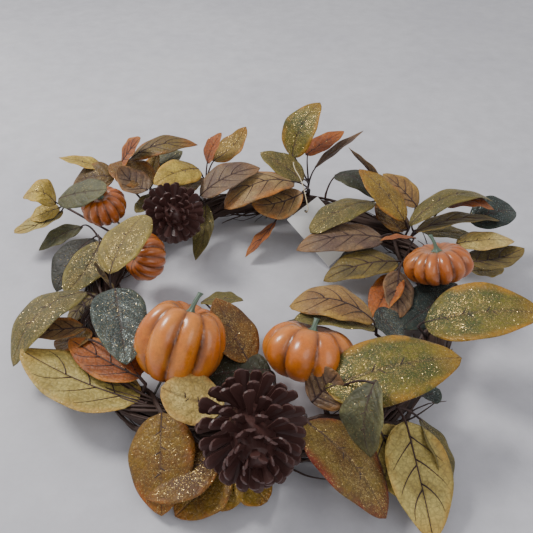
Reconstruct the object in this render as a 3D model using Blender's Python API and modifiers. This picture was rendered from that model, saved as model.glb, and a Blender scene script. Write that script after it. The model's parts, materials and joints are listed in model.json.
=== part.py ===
"""Harvest door wreath: a grapevine ring dressed with leaf sprigs, pumpkins, pine cones and a hang tag.

The wreath lies flat on its back.  +Z is the decorated face, -Y the bottom of the wreath once it hangs,
+Y its top.  Layout tables are in millimetres from the centre of the vine ring, heights from the table;
the finished assembly is moved so that the origin is the bottom centre of its bounding box.
"""
import math

import bmesh
import bpy
from mathutils import Matrix, Vector

MM = 0.001

# ---- driving dimensions (millimetres) ------------------------------------------------------------
RING_RADIUS = 185.0        # centreline of the vine bundle
RING_HEIGHT = 22.0         # bundle centreline above the table
STRAND_COUNT = 5
STRAND_RADIUS = 4.5
STRAND_ORBIT = 9.0         # strands wind round the bundle centre at this distance
STRAND_TWISTS = 4
STRAND_POINTS = 36
WRAP_RADIUS = 2.4
WRAP_ORBIT = 17.4          # the thin vine that binds the strands
WRAP_TURNS = 7
WRAP_POINTS = 63
TIE_RADIUS = 0.8
TIE_ORBIT = 21.2
LOOP_RADIUS = 0.8
LOOP_HALF_WIDTH = 11.0
LOOP_LENGTH = 34.0
LEAF_THICKNESS = 0.8
STEM_RADIUS = 1.1
TRUNK_RADIUS = 1.4
PICK_RADIUS = 1.3
CLEARANCE = 0.4
MOVING_CLEARANCE = 1.2     # round a sprig that can be bent
FLAT_ANGLE = 1.5           # degrees; faces flatter than this to each other become one
TRIES = 6                  # thinner by 0.015 mm each time a cut leaves an edge that only touches
CARD_WIDTH = 65.0
CARD_LENGTH = 76.0
CARD_THICKNESS = 0.6
CARD_HOLE_RADIUS = 2.2
STRING_RADIUS = 0.6

# ---- pumpkins: centre, tilt direction and tilt (degrees), radius, half height, ribs, stalk length --
PUMPKINS = {
    "pumpkin_big_left": ((-77, -109, 65), 60, 38, 41.0, 39.0, 9, 20.0),
    "pumpkin_big_right": ((38, -113, 57), 70, 38, 44.0, 27.0, 9, 12.0),
    "pumpkin_mini_right": ((182, 8, 61), 120, 24, 36.0, 20.0, 13, 17.0),
    "pumpkin_mini_back": ((-195, 116, 62), 235, 12, 27.0, 20.0, 12, 11.0),
    "pumpkin_mini_left": ((-134, 33, 50), 215, 62, 27.0, 20.0, 12, 10.0),
}

# ---- pine cones: centre, tilt direction and tilt (degrees), radius, half length ---------------------
CONES = {
    "cone_front": ((-11, -210, 76), 280, 66, 41.0, 42.0),
    "cone_back": ((-108, 92, 68), 285, 60, 35.0, 36.0),
}

# ---- leaf outlines: where along the leaf it is widest, and how full it is ---------------------------
OUTLINES = {
    "ovate": (0.42, 0.66),
    "lance": (0.45, 0.84),
    "round": (0.50, 0.54),
    "heart": (0.36, 0.60),
}

# ---- leaf sprigs ---------------------------------------------------------------------------------
# name: (fork point, [leaf, ...]); leaf: foot, tip, width, roll (degrees), arch, cup, outline
SPRIGS = {
    "sprig_right_large": ((149, -67, 42), [
        ((150, -77, 58), (244, -99, 92), 66, 10, 10, 0.10, "ovate"),
    ]),
    "sprig_front_green": ((48, -155, 46), [
        ((49, -160, 64), (162, -144, 84), 66, 5, 12, -0.08, "ovate"),
        ((86, -173, 92), (82, -211, 44), 42, 45, 12, 0.20, "lance"),
        ((38, -163, 50), (59, -155, 78), 42, 25, -2, 0.10, "round"),
    ]),
    "sprig_front_cream": ((-105, -153, 34), [
        ((-112, -151, 36), (-228, -102, 48), 66, 10, -6, 0.06, "ovate"),
    ]),
    "sprig_front_red": ((33, -169, 40), [
        ((32, -184, 52), (91, -248, 20), 60, -15, 12, -0.05, "ovate"),
    ]),
    "sprig_left_teal": ((-156, -37, 50), [
        ((-146, -50, 78), (-118, -142, 74), 50, -5, 2, 0.05, "heart"),
    ]),
    "sprig_left_cream": ((-160, -22, 48), [
        ((-153, -36, 84), (-128, 36, 104), 58, -15, 8, -0.06, "round"),
        ((-158, -25, 56), (-182, 14, 58), 29, 65, -2, 0.08, "ovate"),
    ]),
    "sprig_front_left": ((-84, -171, 36), [
        ((-88, -169, 44), (-82, -240, 8), 58, 15, 4, -0.10, "ovate"),
        ((-38, -203, 30), (-100, -224, 12), 54, 0, 6, 0.08, "ovate"),
        ((-32, -207, 26), (-72, -240, 7), 48, 0, 0, 0.06, "ovate"),
        ((-33, -209, 22), (-35, -236, 7), 38, 20, 2, 0.06, "round"),
        ((-22, -208, 20), (1, -228, 8), 40, -15, 0, 0.06, "round"),
    ]),
    "sprig_front_small": ((-36, -170, 46), [
        ((-35, -172, 54), (-87, -162, 68), 50, 0, -2, 0.08, "round"),
    ]),
    "sprig_front_right": ((110, -163, 43), [
        ((92, -179, 42), (118, -232, 12), 52, -10, 0, 0.10, "ovate"),
        ((116, -176, 42), (126, -261, 12), 56, -10, 2, 0.10, "ovate"),
        ((131, -167, 34), (150, -222, 10), 38, -40, 4, 0.12, "lance"),
        ((134, -152, 45), (153, -141, 40), 24, 0, -2, 0.10, "ovate"),
    ]),
    "sprig_top_tall": ((56, 193, 46), [
        ((34, 210, 76), (69, 239, 139), 52, 5, 14, 0.06, "ovate"),
        ((52, 217, 76), (104, 246, 96), 31, 5, 2, 0.08, "ovate"),
        ((64, 207, 62), (130, 246, 96), 27, -20, 2, 0.15, "lance"),
        ((47, 174, 62), (-8, 206, 86), 38, -10, 4, 0.12, "ovate"),
    ]),
    "sprig_top_low": ((56, 178, 46), [
        ((35, 163, 66), (-52, 128, 50), 60, 0, 20, -0.10, "round"),
        ((45, 145, 62), (-18, 128, 56), 55, -10, -6, -0.08, "round"),
        ((11, 123, 34), (-26, 83, 10), 25, 25, 0, 0.12, "lance"),
    ]),
    "sprig_top_right": ((77, 171, 44), [
        ((88, 182, 66), (140, 151, 48), 42, 0, 14, -0.10, "ovate"),
    ]),
    "sprig_right_tag": ((146, 143, 44), [
        ((131, 125, 62), (51, 74, 52), 50, 10, 12, -0.08, "round"),
    ]),
    "sprig_right_inner": ((149, 87, 40), [
        ((134, 65, 52), (34, 56, 42), 54, 0, 12, -0.06, "ovate"),
        ((129, 75, 36), (80, 50, 22), 30, 25, 4, 0.05, "ovate"),
    ]),
    "sprig_right_plum": ((153, 36, 40), [
        ((146, 32, 44), (62, 9, 36), 46, 0, 10, 0.05, "ovate"),
        ((168, 55, 60), (126, 48, 62), 22, 25, 2, 0.10, "lance"),
        ((142, 9, 50), (134, -48, 36), 36, -20, -2, 0.10, "ovate"),
        ((141, 13, 44), (108, -47, 36), 34, 10, 0, 0.10, "ovate"),
    ]),
    "sprig_right_gold": ((170, 95, 42), [
        ((161, 88, 60), (112, 145, 96), 42, 0, 8, -0.10, "ovate"),
        ((181, 114, 62), (142, 148, 88), 42, 0, 4, 0.08, "ovate"),
        ((161, 88, 44), (140, 142, 54), 40, 5, 0, 0.08, "ovate"),
        ((146, 139, 76), (101, 176, 108), 26, 55, 0, 0.15, "lance"),
    ]),
    "sprig_right_olive": ((176, 91, 42), [
        ((165, 78, 60), (268, 109, 74), 38, -10, 24, -0.10, "ovate"),
        ((173, 74, 54), (274, 91, 58), 37, -15, 10, 0.08, "ovate"),
        ((185, 88, 44), (249, 84, 38), 38, -10, 4, 0.05, "ovate"),
    ]),
    "sprig_right_teal": ((202, 113, 42), [
        ((211, 104, 70), (266, 96, 70), 34, -5, 10, 0.08, "ovate"),
        ((246, 106, 46), (303, 115, 54), 46, 20, 12, 0.06, "ovate"),
    ]),
    "sprig_right_mini": ((224, 46, 32), [
        ((218, 62, 46), (283, 60, 52), 40, -5, 4, -0.05, "ovate"),
        ((227, 39, 38), (291, 49, 50), 50, -10, -4, 0.08, "ovate"),
        ((232, 39, 26), (275, 48, 22), 32, -10, -2, 0.05, "ovate"),
    ]),
    "sprig_right_dark": ((158, -56, 38), [
        ((206, 4, 36), (134, -60, 33), 54, -5, -2, 0.04, "ovate"),
    ]),
    "sprig_inner_pink": ((107, -73, 38), [
        ((101, -79, 62), (22, -62, 66), 50, 5, 18, -0.10, "round"),
        ((103, -78, 54), (25, -88, 72), 46, 14, 8, 0.05, "ovate"),
        ((104, -76, 46), (18, -77, 60), 29, 30, 4, 0.05, "ovate"),
        ((110, -56, 58), (131, -83, 44), 38, -15, -4, 0.10, "ovate"),
    ]),
    "sprig_inner_gold": ((-13, -122, 40), [
        ((-16, -116, 46), (-48, -62, 76), 48, 15, 0, 0.08, "ovate"),
        ((-66, -40, 50), (-23, -45, 56), 33, -20, 4, 0.05, "ovate"),
    ]),
    "sprig_inner_dark": ((7, -125, 38), [
        ((4, -123, 44), (-64, -128, 36), 52, -5, 6, -0.05, "ovate"),
    ]),
    "sprig_left_orange": ((-107, -138, 43), [
        ((-112, -134, 47), (-190, -82, 42), 42, 0, -2, 0.06, "ovate"),
        ((-114, -133, 50), (-127, -104, 56), 26, 40, -2, 0.08, "ovate"),
        ((-168, -86, 45), (-211, -70, 24), 32, 0, 0, 0.06, "ovate"),
    ]),
    "sprig_left_long": ((-173, -31, 42), [
        ((-184, -29, 54), (-238, -107, 30), 58, 15, 22, -0.06, "ovate"),
        ((-179, -16, 38), (-209, -38, 16), 38, 10, 4, 0.06, "ovate"),
        ((-178, -66, 40), (-232, -78, 44), 31, 0, 2, 0.10, "lance"),
    ]),
    "sprig_left_olive": ((-200, 83, 42), [
        ((-188, 57, 54), (-208, -22, 46), 46, 0, -6, 0.05, "ovate"),
        ((-205, 81, 40), (-232, 8, 20), 48, 5, 10, 0.06, "ovate"),
        ((-234, 132, 20), (-283, 99, 7), 32, -5, 6, 0.04, "lance"),
    ]),
    "sprig_left_far": ((-257, 146, 42), [
        ((-263, 139, 50), (-300, 136, 62), 44, -10, 16, 0.10, "ovate"),
        ((-261, 142, 42), (-296, 127, 34), 32, -10, 2, 0.08, "ovate"),
        ((-259, 144, 36), (-305, 97, 36), 34, 5, -2, 0.15, "round"),
        ((-255, 132, 62), (-183, 101, 94), 42, 25, 4, -0.10, "round"),
    ]),
    "sprig_back_orange": ((-194, 200, 54), [
        ((-189, 160, 76), (-246, 162, 62), 50, -20, 10, -0.10, "ovate"),
        ((-186, 186, 80), (-156, 187, 116), 40, 15, 2, 0.10, "ovate"),
        ((-177, 196, 80), (-88, 202, 98), 40, 10, 14, -0.10, "lance"),
        ((-143, 150, 68), (-199, 182, 82), 56, 0, 6, 0.05, "ovate"),
        ((-202, 175, 76), (-264, 187, 88), 29, 5, 4, 0.08, "lance"),
    ]),
    "sprig_back_grey": ((-152, 178, 46), [
        ((-146, 197, 62), (-111, 217, 82), 36, 5, 2, 0.10, "ovate"),
        ((-153, 193, 58), (-142, 206, 86), 32, -10, 0, 0.08, "ovate"),
        ((-113, 164, 52), (-82, 181, 62), 38, -5, 0, 0.08, "ovate"),
        ((-145, 136, 72), (-181, 156, 94), 44, 0, -6, 0.12, "ovate"),
        ((-141, 160, 54), (-156, 107, 58), 27, 0, -2, 0.08, "ovate"),
    ]),
    "sprig_back_gold": ((-80, 188, 46), [
        ((-79, 213, 66), (-58, 224, 104), 33, 0, 4, 0.10, "ovate"),
        ((-72, 219, 66), (-27, 246, 102), 46, 0, -6, 0.08, "ovate"),
        ((-87, 184, 74), (-135, 130, 84), 44, -20, 8, -0.08, "ovate"),
    ]),
    "sprig_back_wide": ((-85, 154, 46), [
        ((-83, 145, 58), (-8, 169, 84), 52, 5, 10, 0.06, "ovate"),
        ((-77, 148, 44), (-85, 70, 16), 30, 25, -6, 0.10, "lance"),
    ]),
}

# ---- what moves: node, the point its hinge passes through -------------------------------------------
POSABLE = ("sprig_right_large", "sprig_left_cream", "sprig_top_tall", "sprig_left_far")

# ---- materials: colour, roughness, metallic ---------------------------------------------------------
FINISHES = {
    "vine_bark": ((0.060, 0.030, 0.024), 0.85, 0.0),
    "pumpkin_shell": ((0.560, 0.170, 0.025), 0.30, 0.0),
    "stalk_green": ((0.110, 0.170, 0.120), 0.55, 0.0),
    "cone_scale": ((0.075, 0.030, 0.028), 0.70, 0.0),
    "steel_wire": ((0.300, 0.290, 0.280), 0.35, 1.0),
    "card_white": ((0.850, 0.850, 0.840), 0.60, 0.0),
    "string_cream": ((0.720, 0.620, 0.420), 0.80, 0.0),
    "leaf_gold": ((0.420, 0.300, 0.070), 0.50, 0.0),
    "leaf_olive": ((0.230, 0.200, 0.080), 0.55, 0.0),
    "leaf_cream": ((0.560, 0.480, 0.220), 0.55, 0.0),
    "leaf_teal": ((0.060, 0.100, 0.095), 0.50, 0.0),
    "leaf_plum": ((0.210, 0.120, 0.100), 0.60, 0.0),
    "leaf_orange": ((0.480, 0.160, 0.030), 0.55, 0.0),
}
SPRIG_FINISH = {
    "sprig_right_large": "leaf_gold", "sprig_front_green": "leaf_olive", "sprig_front_cream": "leaf_cream",
    "sprig_front_red": "leaf_orange", "sprig_left_teal": "leaf_teal", "sprig_left_cream": "leaf_cream",
    "sprig_front_left": "leaf_gold", "sprig_front_small": "leaf_cream", "sprig_front_right": "leaf_olive",
    "sprig_top_tall": "leaf_gold", "sprig_top_low": "leaf_plum", "sprig_top_right": "leaf_teal",
    "sprig_right_tag": "leaf_gold", "sprig_right_inner": "leaf_plum", "sprig_right_plum": "leaf_plum",
    "sprig_right_gold": "leaf_gold", "sprig_right_olive": "leaf_olive", "sprig_right_teal": "leaf_teal",
    "sprig_right_mini": "leaf_olive", "sprig_right_dark": "leaf_teal", "sprig_inner_pink": "leaf_plum",
    "sprig_inner_gold": "leaf_gold", "sprig_inner_dark": "leaf_teal", "sprig_left_orange": "leaf_orange",
    "sprig_left_long": "leaf_olive", "sprig_left_olive": "leaf_olive", "sprig_left_far": "leaf_cream",
    "sprig_back_orange": "leaf_orange", "sprig_back_grey": "leaf_teal",
    "sprig_back_gold": "leaf_gold", "sprig_back_wide": "leaf_plum",
}


# ---- scene helpers ----------------------------------------------------------------------------------
def clear_scene():
    for obj in list(bpy.data.objects):
        bpy.data.objects.remove(obj, do_unlink=True)
    for coll in list(bpy.data.collections):
        bpy.data.collections.remove(coll)


def make_materials():
    mats = {}
    for name, (colour, roughness, metallic) in FINISHES.items():
        mat = bpy.data.materials.new(name)
        mat.use_nodes = True
        shader = mat.node_tree.nodes["Principled BSDF"]
        shader.inputs["Base Color"].default_value = (*colour, 1.0)
        shader.inputs["Roughness"].default_value = roughness
        shader.inputs["Metallic"].default_value = metallic
        mats[name] = mat
    return mats


def new_object(name, mesh, coll):
    obj = bpy.data.objects.new(name, mesh)
    coll.objects.link(obj)
    return obj


def evaluated_mesh(obj):
    bpy.context.view_layer.update()
    graph = bpy.context.evaluated_depsgraph_get()
    return bpy.data.meshes.new_from_object(obj.evaluated_get(graph), depsgraph=graph)


def remove_object(obj):
    data = obj.data
    bpy.data.objects.remove(obj, do_unlink=True)
    if isinstance(data, bpy.types.Mesh) and data.users == 0:
        bpy.data.meshes.remove(data)


def bounds_of(mesh):
    xs = [v.co.x for v in mesh.vertices]
    ys = [v.co.y for v in mesh.vertices]
    zs = [v.co.z for v in mesh.vertices]
    return (min(xs), min(ys), min(zs)), (max(xs), max(ys), max(zs))


def boxes_meet(a, b):
    return all(a[0][k] <= b[1][k] and b[0][k] <= a[1][k] for k in range(3))


# ---- shape helpers ----------------------------------------------------------------------------------
def vec(point):
    return Vector(point) * MM


def ring_frame(clock):
    """Bundle centre and its outward direction at an angle (radians, anticlockwise from +X)."""
    out = Vector((math.cos(clock), math.sin(clock), 0.0))
    sway = 2.0 * math.sin(3.0 * clock + 1.0) + 1.2 * math.sin(5.0 * clock + 0.4)
    return out * (RING_RADIUS + sway) * MM + Vector((0, 0, RING_HEIGHT * MM)), out


def trunk_start(name):
    """Where a sprig's wire comes out of the vine bundle; the wire bends here."""
    root = vec(SPRIGS[name][0])
    middle, _ = ring_frame(math.atan2(root.y, root.x))
    return middle + (root - middle).normalized() * (STRAND_ORBIT + STRAND_RADIUS + 1.0) * MM


def tube(name, points, radius, coll, cyclic=False, sides=6):
    """A round bar along a polyline; radius in millimetres, one value or one per point."""
    curve = bpy.data.curves.new(name, "CURVE")
    curve.dimensions = "3D"
    curve.bevel_depth = MM
    curve.bevel_resolution = sides // 2 - 2
    curve.use_fill_caps = not cyclic
    spline = curve.splines.new("POLY")
    spline.points.add(len(points) - 1)
    for i, point in enumerate(points):
        spline.points[i].co = (*point, 1.0)
        spline.points[i].radius = radius[i] if isinstance(radius, (list, tuple)) else radius
    spline.use_cyclic_u = cyclic
    temp = new_object(name + "_curve", curve, coll)
    mesh = evaluated_mesh(temp)
    bpy.data.objects.remove(temp, do_unlink=True)
    bpy.data.curves.remove(curve)
    weld(mesh)
    return new_object(name, mesh, coll)


def weld(mesh, distance=0.000002):
    bm = bmesh.new()
    bm.from_mesh(mesh)
    bmesh.ops.remove_doubles(bm, verts=bm.verts, dist=distance)
    bmesh.ops.recalc_face_normals(bm, faces=bm.faces)
    if bm.calc_volume(signed=True) < 0.0:
        bmesh.ops.reverse_faces(bm, faces=bm.faces)
    bm.to_mesh(mesh)
    bm.free()


def combine(obj, other, operation):
    """Boolean two solids and drop the second one."""
    mod = obj.modifiers.new("cut", "BOOLEAN")
    mod.operation = operation
    mod.solver = "EXACT"
    mod.object = other
    mesh = evaluated_mesh(obj)
    obj.modifiers.remove(mod)
    old = obj.data
    obj.data = mesh
    bpy.data.meshes.remove(old)
    remove_object(other)


def copy_object(obj, coll):
    return new_object(obj.name + "_copy", obj.data.copy(), coll)


def tidy(obj, near):
    """Weld points closer than near, keep the largest piece, and leave clean triangles."""
    bm = bmesh.new()
    bm.from_mesh(obj.data)
    if near > 0.0:
        bmesh.ops.remove_doubles(bm, verts=bm.verts, dist=near)
        bmesh.ops.dissolve_degenerate(bm, edges=bm.edges, dist=near)
        bmesh.ops.dissolve_limit(bm, verts=bm.verts, edges=bm.edges, angle_limit=math.radians(FLAT_ANGLE))
    bmesh.ops.triangulate(bm, faces=bm.faces)
    pieces = []
    seen = set()
    for start in bm.faces:
        if start in seen:
            continue
        stack = [start]
        seen.add(start)
        piece = []
        while stack:
            face = stack.pop()
            piece.append(face)
            for edge in face.edges:
                if len(edge.link_faces) != 2:
                    continue
                for other in edge.link_faces:
                    if other not in seen:
                        seen.add(other)
                        stack.append(other)
        pieces.append(piece)

    def volume(piece):
        total = 0.0
        for face in piece:
            a, b, c = (v.co for v in face.verts)
            total += a.dot(b.cross(c)) / 6.0
        return total

    pieces.sort(key=volume, reverse=True)
    for piece in pieces[1:]:
        bmesh.ops.delete(bm, geom=piece, context="FACES")
    bm.to_mesh(obj.data)
    bm.free()


def closes(mesh, step=0.0001 * MM):
    """True when every edge has two faces once points closer than the step are made one."""
    spots = [tuple(round(c / step) for c in v.co) for v in mesh.vertices]
    uses = {}
    for face in mesh.polygons:
        corners = [spots[i] for i in face.vertices]
        if len(set(corners)) < 3:
            continue
        for i, corner in enumerate(corners):
            edge = frozenset((corner, corners[i - 1]))
            uses[edge] = uses.get(edge, 0) + 1
    return len(mesh.polygons) > 0 and all(count == 2 for count in uses.values())


def axis_matrix(centre, direction, tilt):
    """Local +Z leans by tilt degrees towards a compass direction (degrees from +X)."""
    lean = Matrix.Rotation(math.radians(tilt), 4, "Y")
    turn = Matrix.Rotation(math.radians(direction), 4, "Z")
    return Matrix.Translation(vec(centre)) @ turn @ lean


# ---- pieces -------------------------------------------------------------------------------------------
def vine_strand(index, coll, grow=0.0):
    points = []
    for i in range(STRAND_POINTS):
        clock = 2.0 * math.pi * i / STRAND_POINTS
        centre, out = ring_frame(clock)
        spin = STRAND_TWISTS * clock + 2.0 * math.pi * index / STRAND_COUNT
        points.append(centre + (out * math.cos(spin) + Vector((0, 0, math.sin(spin)))) * STRAND_ORBIT * MM)
    return tube("vine_strand_%d" % (index + 1), points, STRAND_RADIUS + grow, coll, cyclic=True)


def vine_wrap(coll, grow=0.0):
    points = []
    for i in range(WRAP_POINTS):
        clock = 2.0 * math.pi * i / WRAP_POINTS
        centre, out = ring_frame(clock)
        spin = -WRAP_TURNS * clock - 0.4
        points.append(centre + (out * math.cos(spin) + Vector((0, 0, math.sin(spin)))) * WRAP_ORBIT * MM)
    return tube("vine_wrap", points, WRAP_RADIUS + grow, coll, cyclic=True)


def hanger_tie(coll, grow=0.0):
    centre, out = ring_frame(math.pi / 2.0)
    points = []
    for i in range(16):
        spin = 2.0 * math.pi * i / 16
        points.append(centre + (out * math.cos(spin) + Vector((0, 0, math.sin(spin)))) * TIE_ORBIT * MM)
    return tube("hanger_tie", points, TIE_RADIUS + grow, coll, cyclic=True)


def hanger_loop(coll, grow=0.0):
    centre, out = ring_frame(math.pi / 2.0)
    inner = centre + out * (TIE_ORBIT - 2.6) * MM
    points = []
    for i in range(14):
        turn = 2.0 * math.pi * i / 14
        along = (1.0 - math.cos(turn)) * 0.5 * LOOP_LENGTH
        across = math.sin(turn) * LOOP_HALF_WIDTH * (0.45 + 0.55 * along / LOOP_LENGTH)
        points.append(inner + out * along * MM + Vector((across * MM, 0, 0)))
    return tube("hanger_loop", points, LOOP_RADIUS + grow, coll, cyclic=True)


def pumpkin(name, coll, grow=0.0):
    centre, direction, tilt, radius, half, ribs, _ = PUMPKINS[name]
    per_rib = 4 if ribs < 10 else 2
    bm = bmesh.new()
    bmesh.ops.create_uvsphere(bm, u_segments=ribs * per_rib, v_segments=8, radius=1.0)
    for vert in bm.verts:
        angle = math.atan2(vert.co.y, vert.co.x)
        flat = math.hypot(vert.co.x, vert.co.y)
        groove = 1.0 - abs(math.sin(ribs * angle / 2.0)) ** 0.7
        reach = (flat ** 0.85) * (1.0 - 0.10 * groove * flat)
        dimple = 1.0 - 0.30 * math.exp(-(flat / 0.33) ** 2)
        up = half * vert.co.z * dimple
        vert.co = Vector((math.cos(angle) * reach * (radius + grow), math.sin(angle) * reach * (radius + grow),
                          up + math.copysign(grow, up))) * MM
    bmesh.ops.recalc_face_normals(bm, faces=bm.faces)
    mesh = bpy.data.meshes.new(name)
    bm.to_mesh(mesh)
    bm.free()
    mesh.transform(axis_matrix(centre, direction, tilt))
    return new_object(name, mesh, coll)


def stalk(name, coll, grow=0.0):
    centre, direction, tilt, radius, half, _, length = PUMPKINS[name]
    matrix = axis_matrix(centre, direction, tilt)
    base = half * 0.70 + CLEARANCE
    wide = radius * 0.17
    heights = (0.0, 0.12, 0.45, 0.8, 1.0)
    widths = (1.25, 0.85, 0.62, 0.52, 0.60)
    points = []
    for height in heights:
        bend = 0.30 * length * height ** 2
        points.append(matrix @ vec((bend, 0.0, base + length * height)))
    return tube(name.replace("pumpkin", "stalk"), points, [wide * w + grow for w in widths], coll, sides=8)


def pick(name, coll, grow=0.0):
    """The wire that holds a pumpkin on the vine, from the shell to the middle of the bundle."""
    centre = vec(PUMPKINS[name][0])
    clock = math.atan2(centre.y, centre.x)
    middle, _ = ring_frame(clock)
    points = [centre, middle.lerp(centre, 0.5), middle]
    return tube(name.replace("pumpkin", "pick"), points, PICK_RADIUS + grow, coll)


def cone(name, coll, grow=0.0):
    centre, direction, tilt, radius, half = CONES[name]
    bm = bmesh.new()
    bmesh.ops.create_uvsphere(bm, u_segments=20, v_segments=16, radius=1.0)
    for vert in bm.verts:
        angle = math.atan2(vert.co.y, vert.co.x)
        flat = math.hypot(vert.co.x, vert.co.y)
        ring = round(math.acos(max(-1.0, min(1.0, vert.co.z))) / math.pi * 16)
        step = round(angle / (2.0 * math.pi) * 20)
        tier = ring // 2
        if ring % 2 == 1:
            reach = 1.0 if (step + tier) % 2 == 0 else 0.84
        else:
            reach = 0.74
        taper = 1.0 - 0.16 * vert.co.z
        wide = flat ** 0.8 * reach * taper * radius + grow * (flat > 0.01)
        up = vert.co.z * half + math.copysign(grow, vert.co.z) + (3.0 if ring % 2 == 1 else 0.0)
        vert.co = Vector((math.cos(angle) * wide, math.sin(angle) * wide, up)) * MM
    bmesh.ops.recalc_face_normals(bm, faces=bm.faces)
    mesh = bpy.data.meshes.new(name)
    bm.to_mesh(mesh)
    bm.free()
    mesh.transform(axis_matrix(centre, direction, tilt))
    return new_object(name, mesh, coll)


def cone_wire(name, coll, grow=0.0):
    centre = vec(CONES[name][0])
    clock = math.atan2(centre.y, centre.x)
    middle, _ = ring_frame(clock)
    points = [centre, middle.lerp(centre, 0.5), middle]
    return tube(name.replace("cone", "wire_cone"), points, PICK_RADIUS + grow, coll)


def leaf_axes(foot, tip, roll):
    along = (tip - foot).normalized()
    side = along.cross(Vector((0, 0, 1)))
    if side.length < 0.05:
        side = Vector((1, 0, 0))
    side.normalize()
    normal = side.cross(along)
    turn = Matrix.Rotation(math.radians(roll), 3, along)
    return along, turn @ side, turn @ normal


def leaf_point(leaf, s, t):
    """A point of a leaf: s runs from foot to tip, t from -1 to 1 across it."""
    foot, tip, width, roll, arch, cup, outline = leaf
    foot, tip = vec(foot), vec(tip)
    _, side, normal = leaf_axes(foot, tip, roll)
    peak, full = OUTLINES[outline]
    spread = math.sin(math.pi * min(1.0, max(0.0, s)) ** (math.log(0.5) / math.log(peak)))
    half = max(width * 0.5 * max(0.0, spread) ** full, 1.6 - 0.7 * s)
    reach = t * half
    lift = arch * 4.0 * s * (1.0 - s) + cup * 2.0 * reach * reach / width
    return foot.lerp(tip, s) + side * reach * MM + normal * lift * MM


def leaf_plate(name, leaf, coll, grow=0.0):
    bm = bmesh.new()
    bmesh.ops.create_grid(bm, x_segments=4, y_segments=2, size=1.0)
    foot, tip, width, roll, arch, cup, outline = leaf
    wider = (foot, tip, width + 2.0 * grow, roll, arch, cup, outline)
    length = (vec(tip) - vec(foot)).length / MM
    for vert in bm.verts:
        s = (vert.co.x + 1.0) * 0.5
        s = -grow / length + s * (1.0 + 2.0 * grow / length)
        vert.co = leaf_point(wider, s, vert.co.y)
    mesh = bpy.data.meshes.new(name)
    bm.to_mesh(mesh)
    bm.free()
    flat = new_object(name + "_flat", mesh, coll)
    mod = flat.modifiers.new("thickness", "SOLIDIFY")
    mod.thickness = (LEAF_THICKNESS + 2.0 * grow) * MM
    mod.offset = 0.0
    solid = evaluated_mesh(flat)
    remove_object(flat)
    weld(solid)
    return new_object(name, solid, coll)


def sprig(name, coll, grow=0.0):
    """One floral pick: a wire trunk from the vine to a fork, with stemmed leaves from the fork."""
    fork, leaves = SPRIGS[name]
    root = vec(fork)
    start = trunk_start(name)
    overshoot = root + (root - start).normalized() * 1.5 * MM
    body = tube(name, [start, overshoot], TRUNK_RADIUS + grow, coll)
    for number, leaf in enumerate(leaves):
        foot = vec(leaf[0])
        bend = root.lerp(foot, 0.55) + Vector((0, 0, 0.12 * (foot - root).length))
        inner = leaf_point(leaf, 0.05, 0.0)
        petiole = tube("%s_stem_%d" % (name, number), [root, bend, inner], STEM_RADIUS + grow, coll, sides=4)
        combine(body, petiole, "UNION")
        combine(body, leaf_plate("%s_leaf_%d" % (name, number), leaf, coll, grow), "UNION")
    return body


def card_axes():
    across = Vector((math.cos(math.radians(52)), math.sin(math.radians(52)), 0.0))
    level = Vector((math.cos(math.radians(-38)), math.sin(math.radians(-38)), 0.0))
    down = level * math.cos(math.radians(33)) - Vector((0, 0, 1)) * math.sin(math.radians(33))
    return Vector((70, 114, 27)) * MM, across, down


def tag_card(coll, grow=0.0):
    centre, across, down = card_axes()
    normal = across.cross(down)
    bm = bmesh.new()
    bmesh.ops.create_cube(bm, size=1.0)
    mesh = bpy.data.meshes.new("tag_card")
    bm.to_mesh(mesh)
    bm.free()
    size = ((CARD_WIDTH + 2 * grow) * MM, (CARD_LENGTH + 2 * grow) * MM, (CARD_THICKNESS + 2 * grow) * MM)
    frame = Matrix((across, down, normal)).transposed().to_4x4()
    mesh.transform(Matrix.Translation(centre) @ frame @ Matrix.Diagonal((*size, 1.0)))
    card = new_object("tag_card", mesh, coll)
    if grow <= 0.0:
        at = tag_hole()
        hole = tube("hole", [at - normal * 3 * MM, at + normal * 3 * MM], CARD_HOLE_RADIUS, coll, sides=12)
        combine(card, hole, "DIFFERENCE")
    return card


def tag_hole():
    centre, _, down = card_axes()
    return centre - down * (CARD_LENGTH * 0.5 - 6.0) * MM


def tag_string_route():
    """The string comes up through the card's hole and lies over the low top leaves to the sprig stems."""
    hole = tag_hole()
    _, across, down = card_axes()
    normal = across.cross(down)
    if normal.z < 0.0:
        normal = -normal
    knots = [hole - normal * 5 * MM, hole, hole + normal * 6 * MM, vec((44, 150, 74)), vec((36, 168, 82)),
             vec((34, 182, 84)), vec((36, 192, 78))]
    points = []
    for i in range(len(knots) - 1):
        before = knots[max(i - 1, 0)]
        after = knots[min(i + 2, len(knots) - 1)]
        steps = 1 if i < 2 else 6
        for k in range(steps):
            u = k / steps
            a, b = knots[i], knots[i + 1]
            points.append(0.5 * ((2 * a) + (b - before) * u + (2 * before - 5 * a + 4 * b - after) * u * u
                                 + (3 * a - before - 3 * b + after) * u ** 3))
    points.append(knots[-1])
    return points


def tag_string(coll, grow=0.0):
    return tube("tag_string", tag_string_route(), STRING_RADIUS + grow, coll, sides=4)


# ---- assembly ------------------------------------------------------------------------------------------
def trim(obj, blockers, skip=()):
    """Cut a piece back to a small clearance from everything it would otherwise run into."""
    box = bounds_of(obj.data)
    for name, blocker in blockers.items():
        if name in skip or not boxes_meet(box, bounds_of(blocker.data)):
            continue
        combine(obj, copy_object(blocker, obj.users_collection[0]), "DIFFERENCE")
    whole = obj.data.copy()
    for near in (0.02 * MM, 0.001 * MM, 0.0):
        obj.data = whole.copy()
        tidy(obj, near)
        if closes(obj.data):
            break


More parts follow.
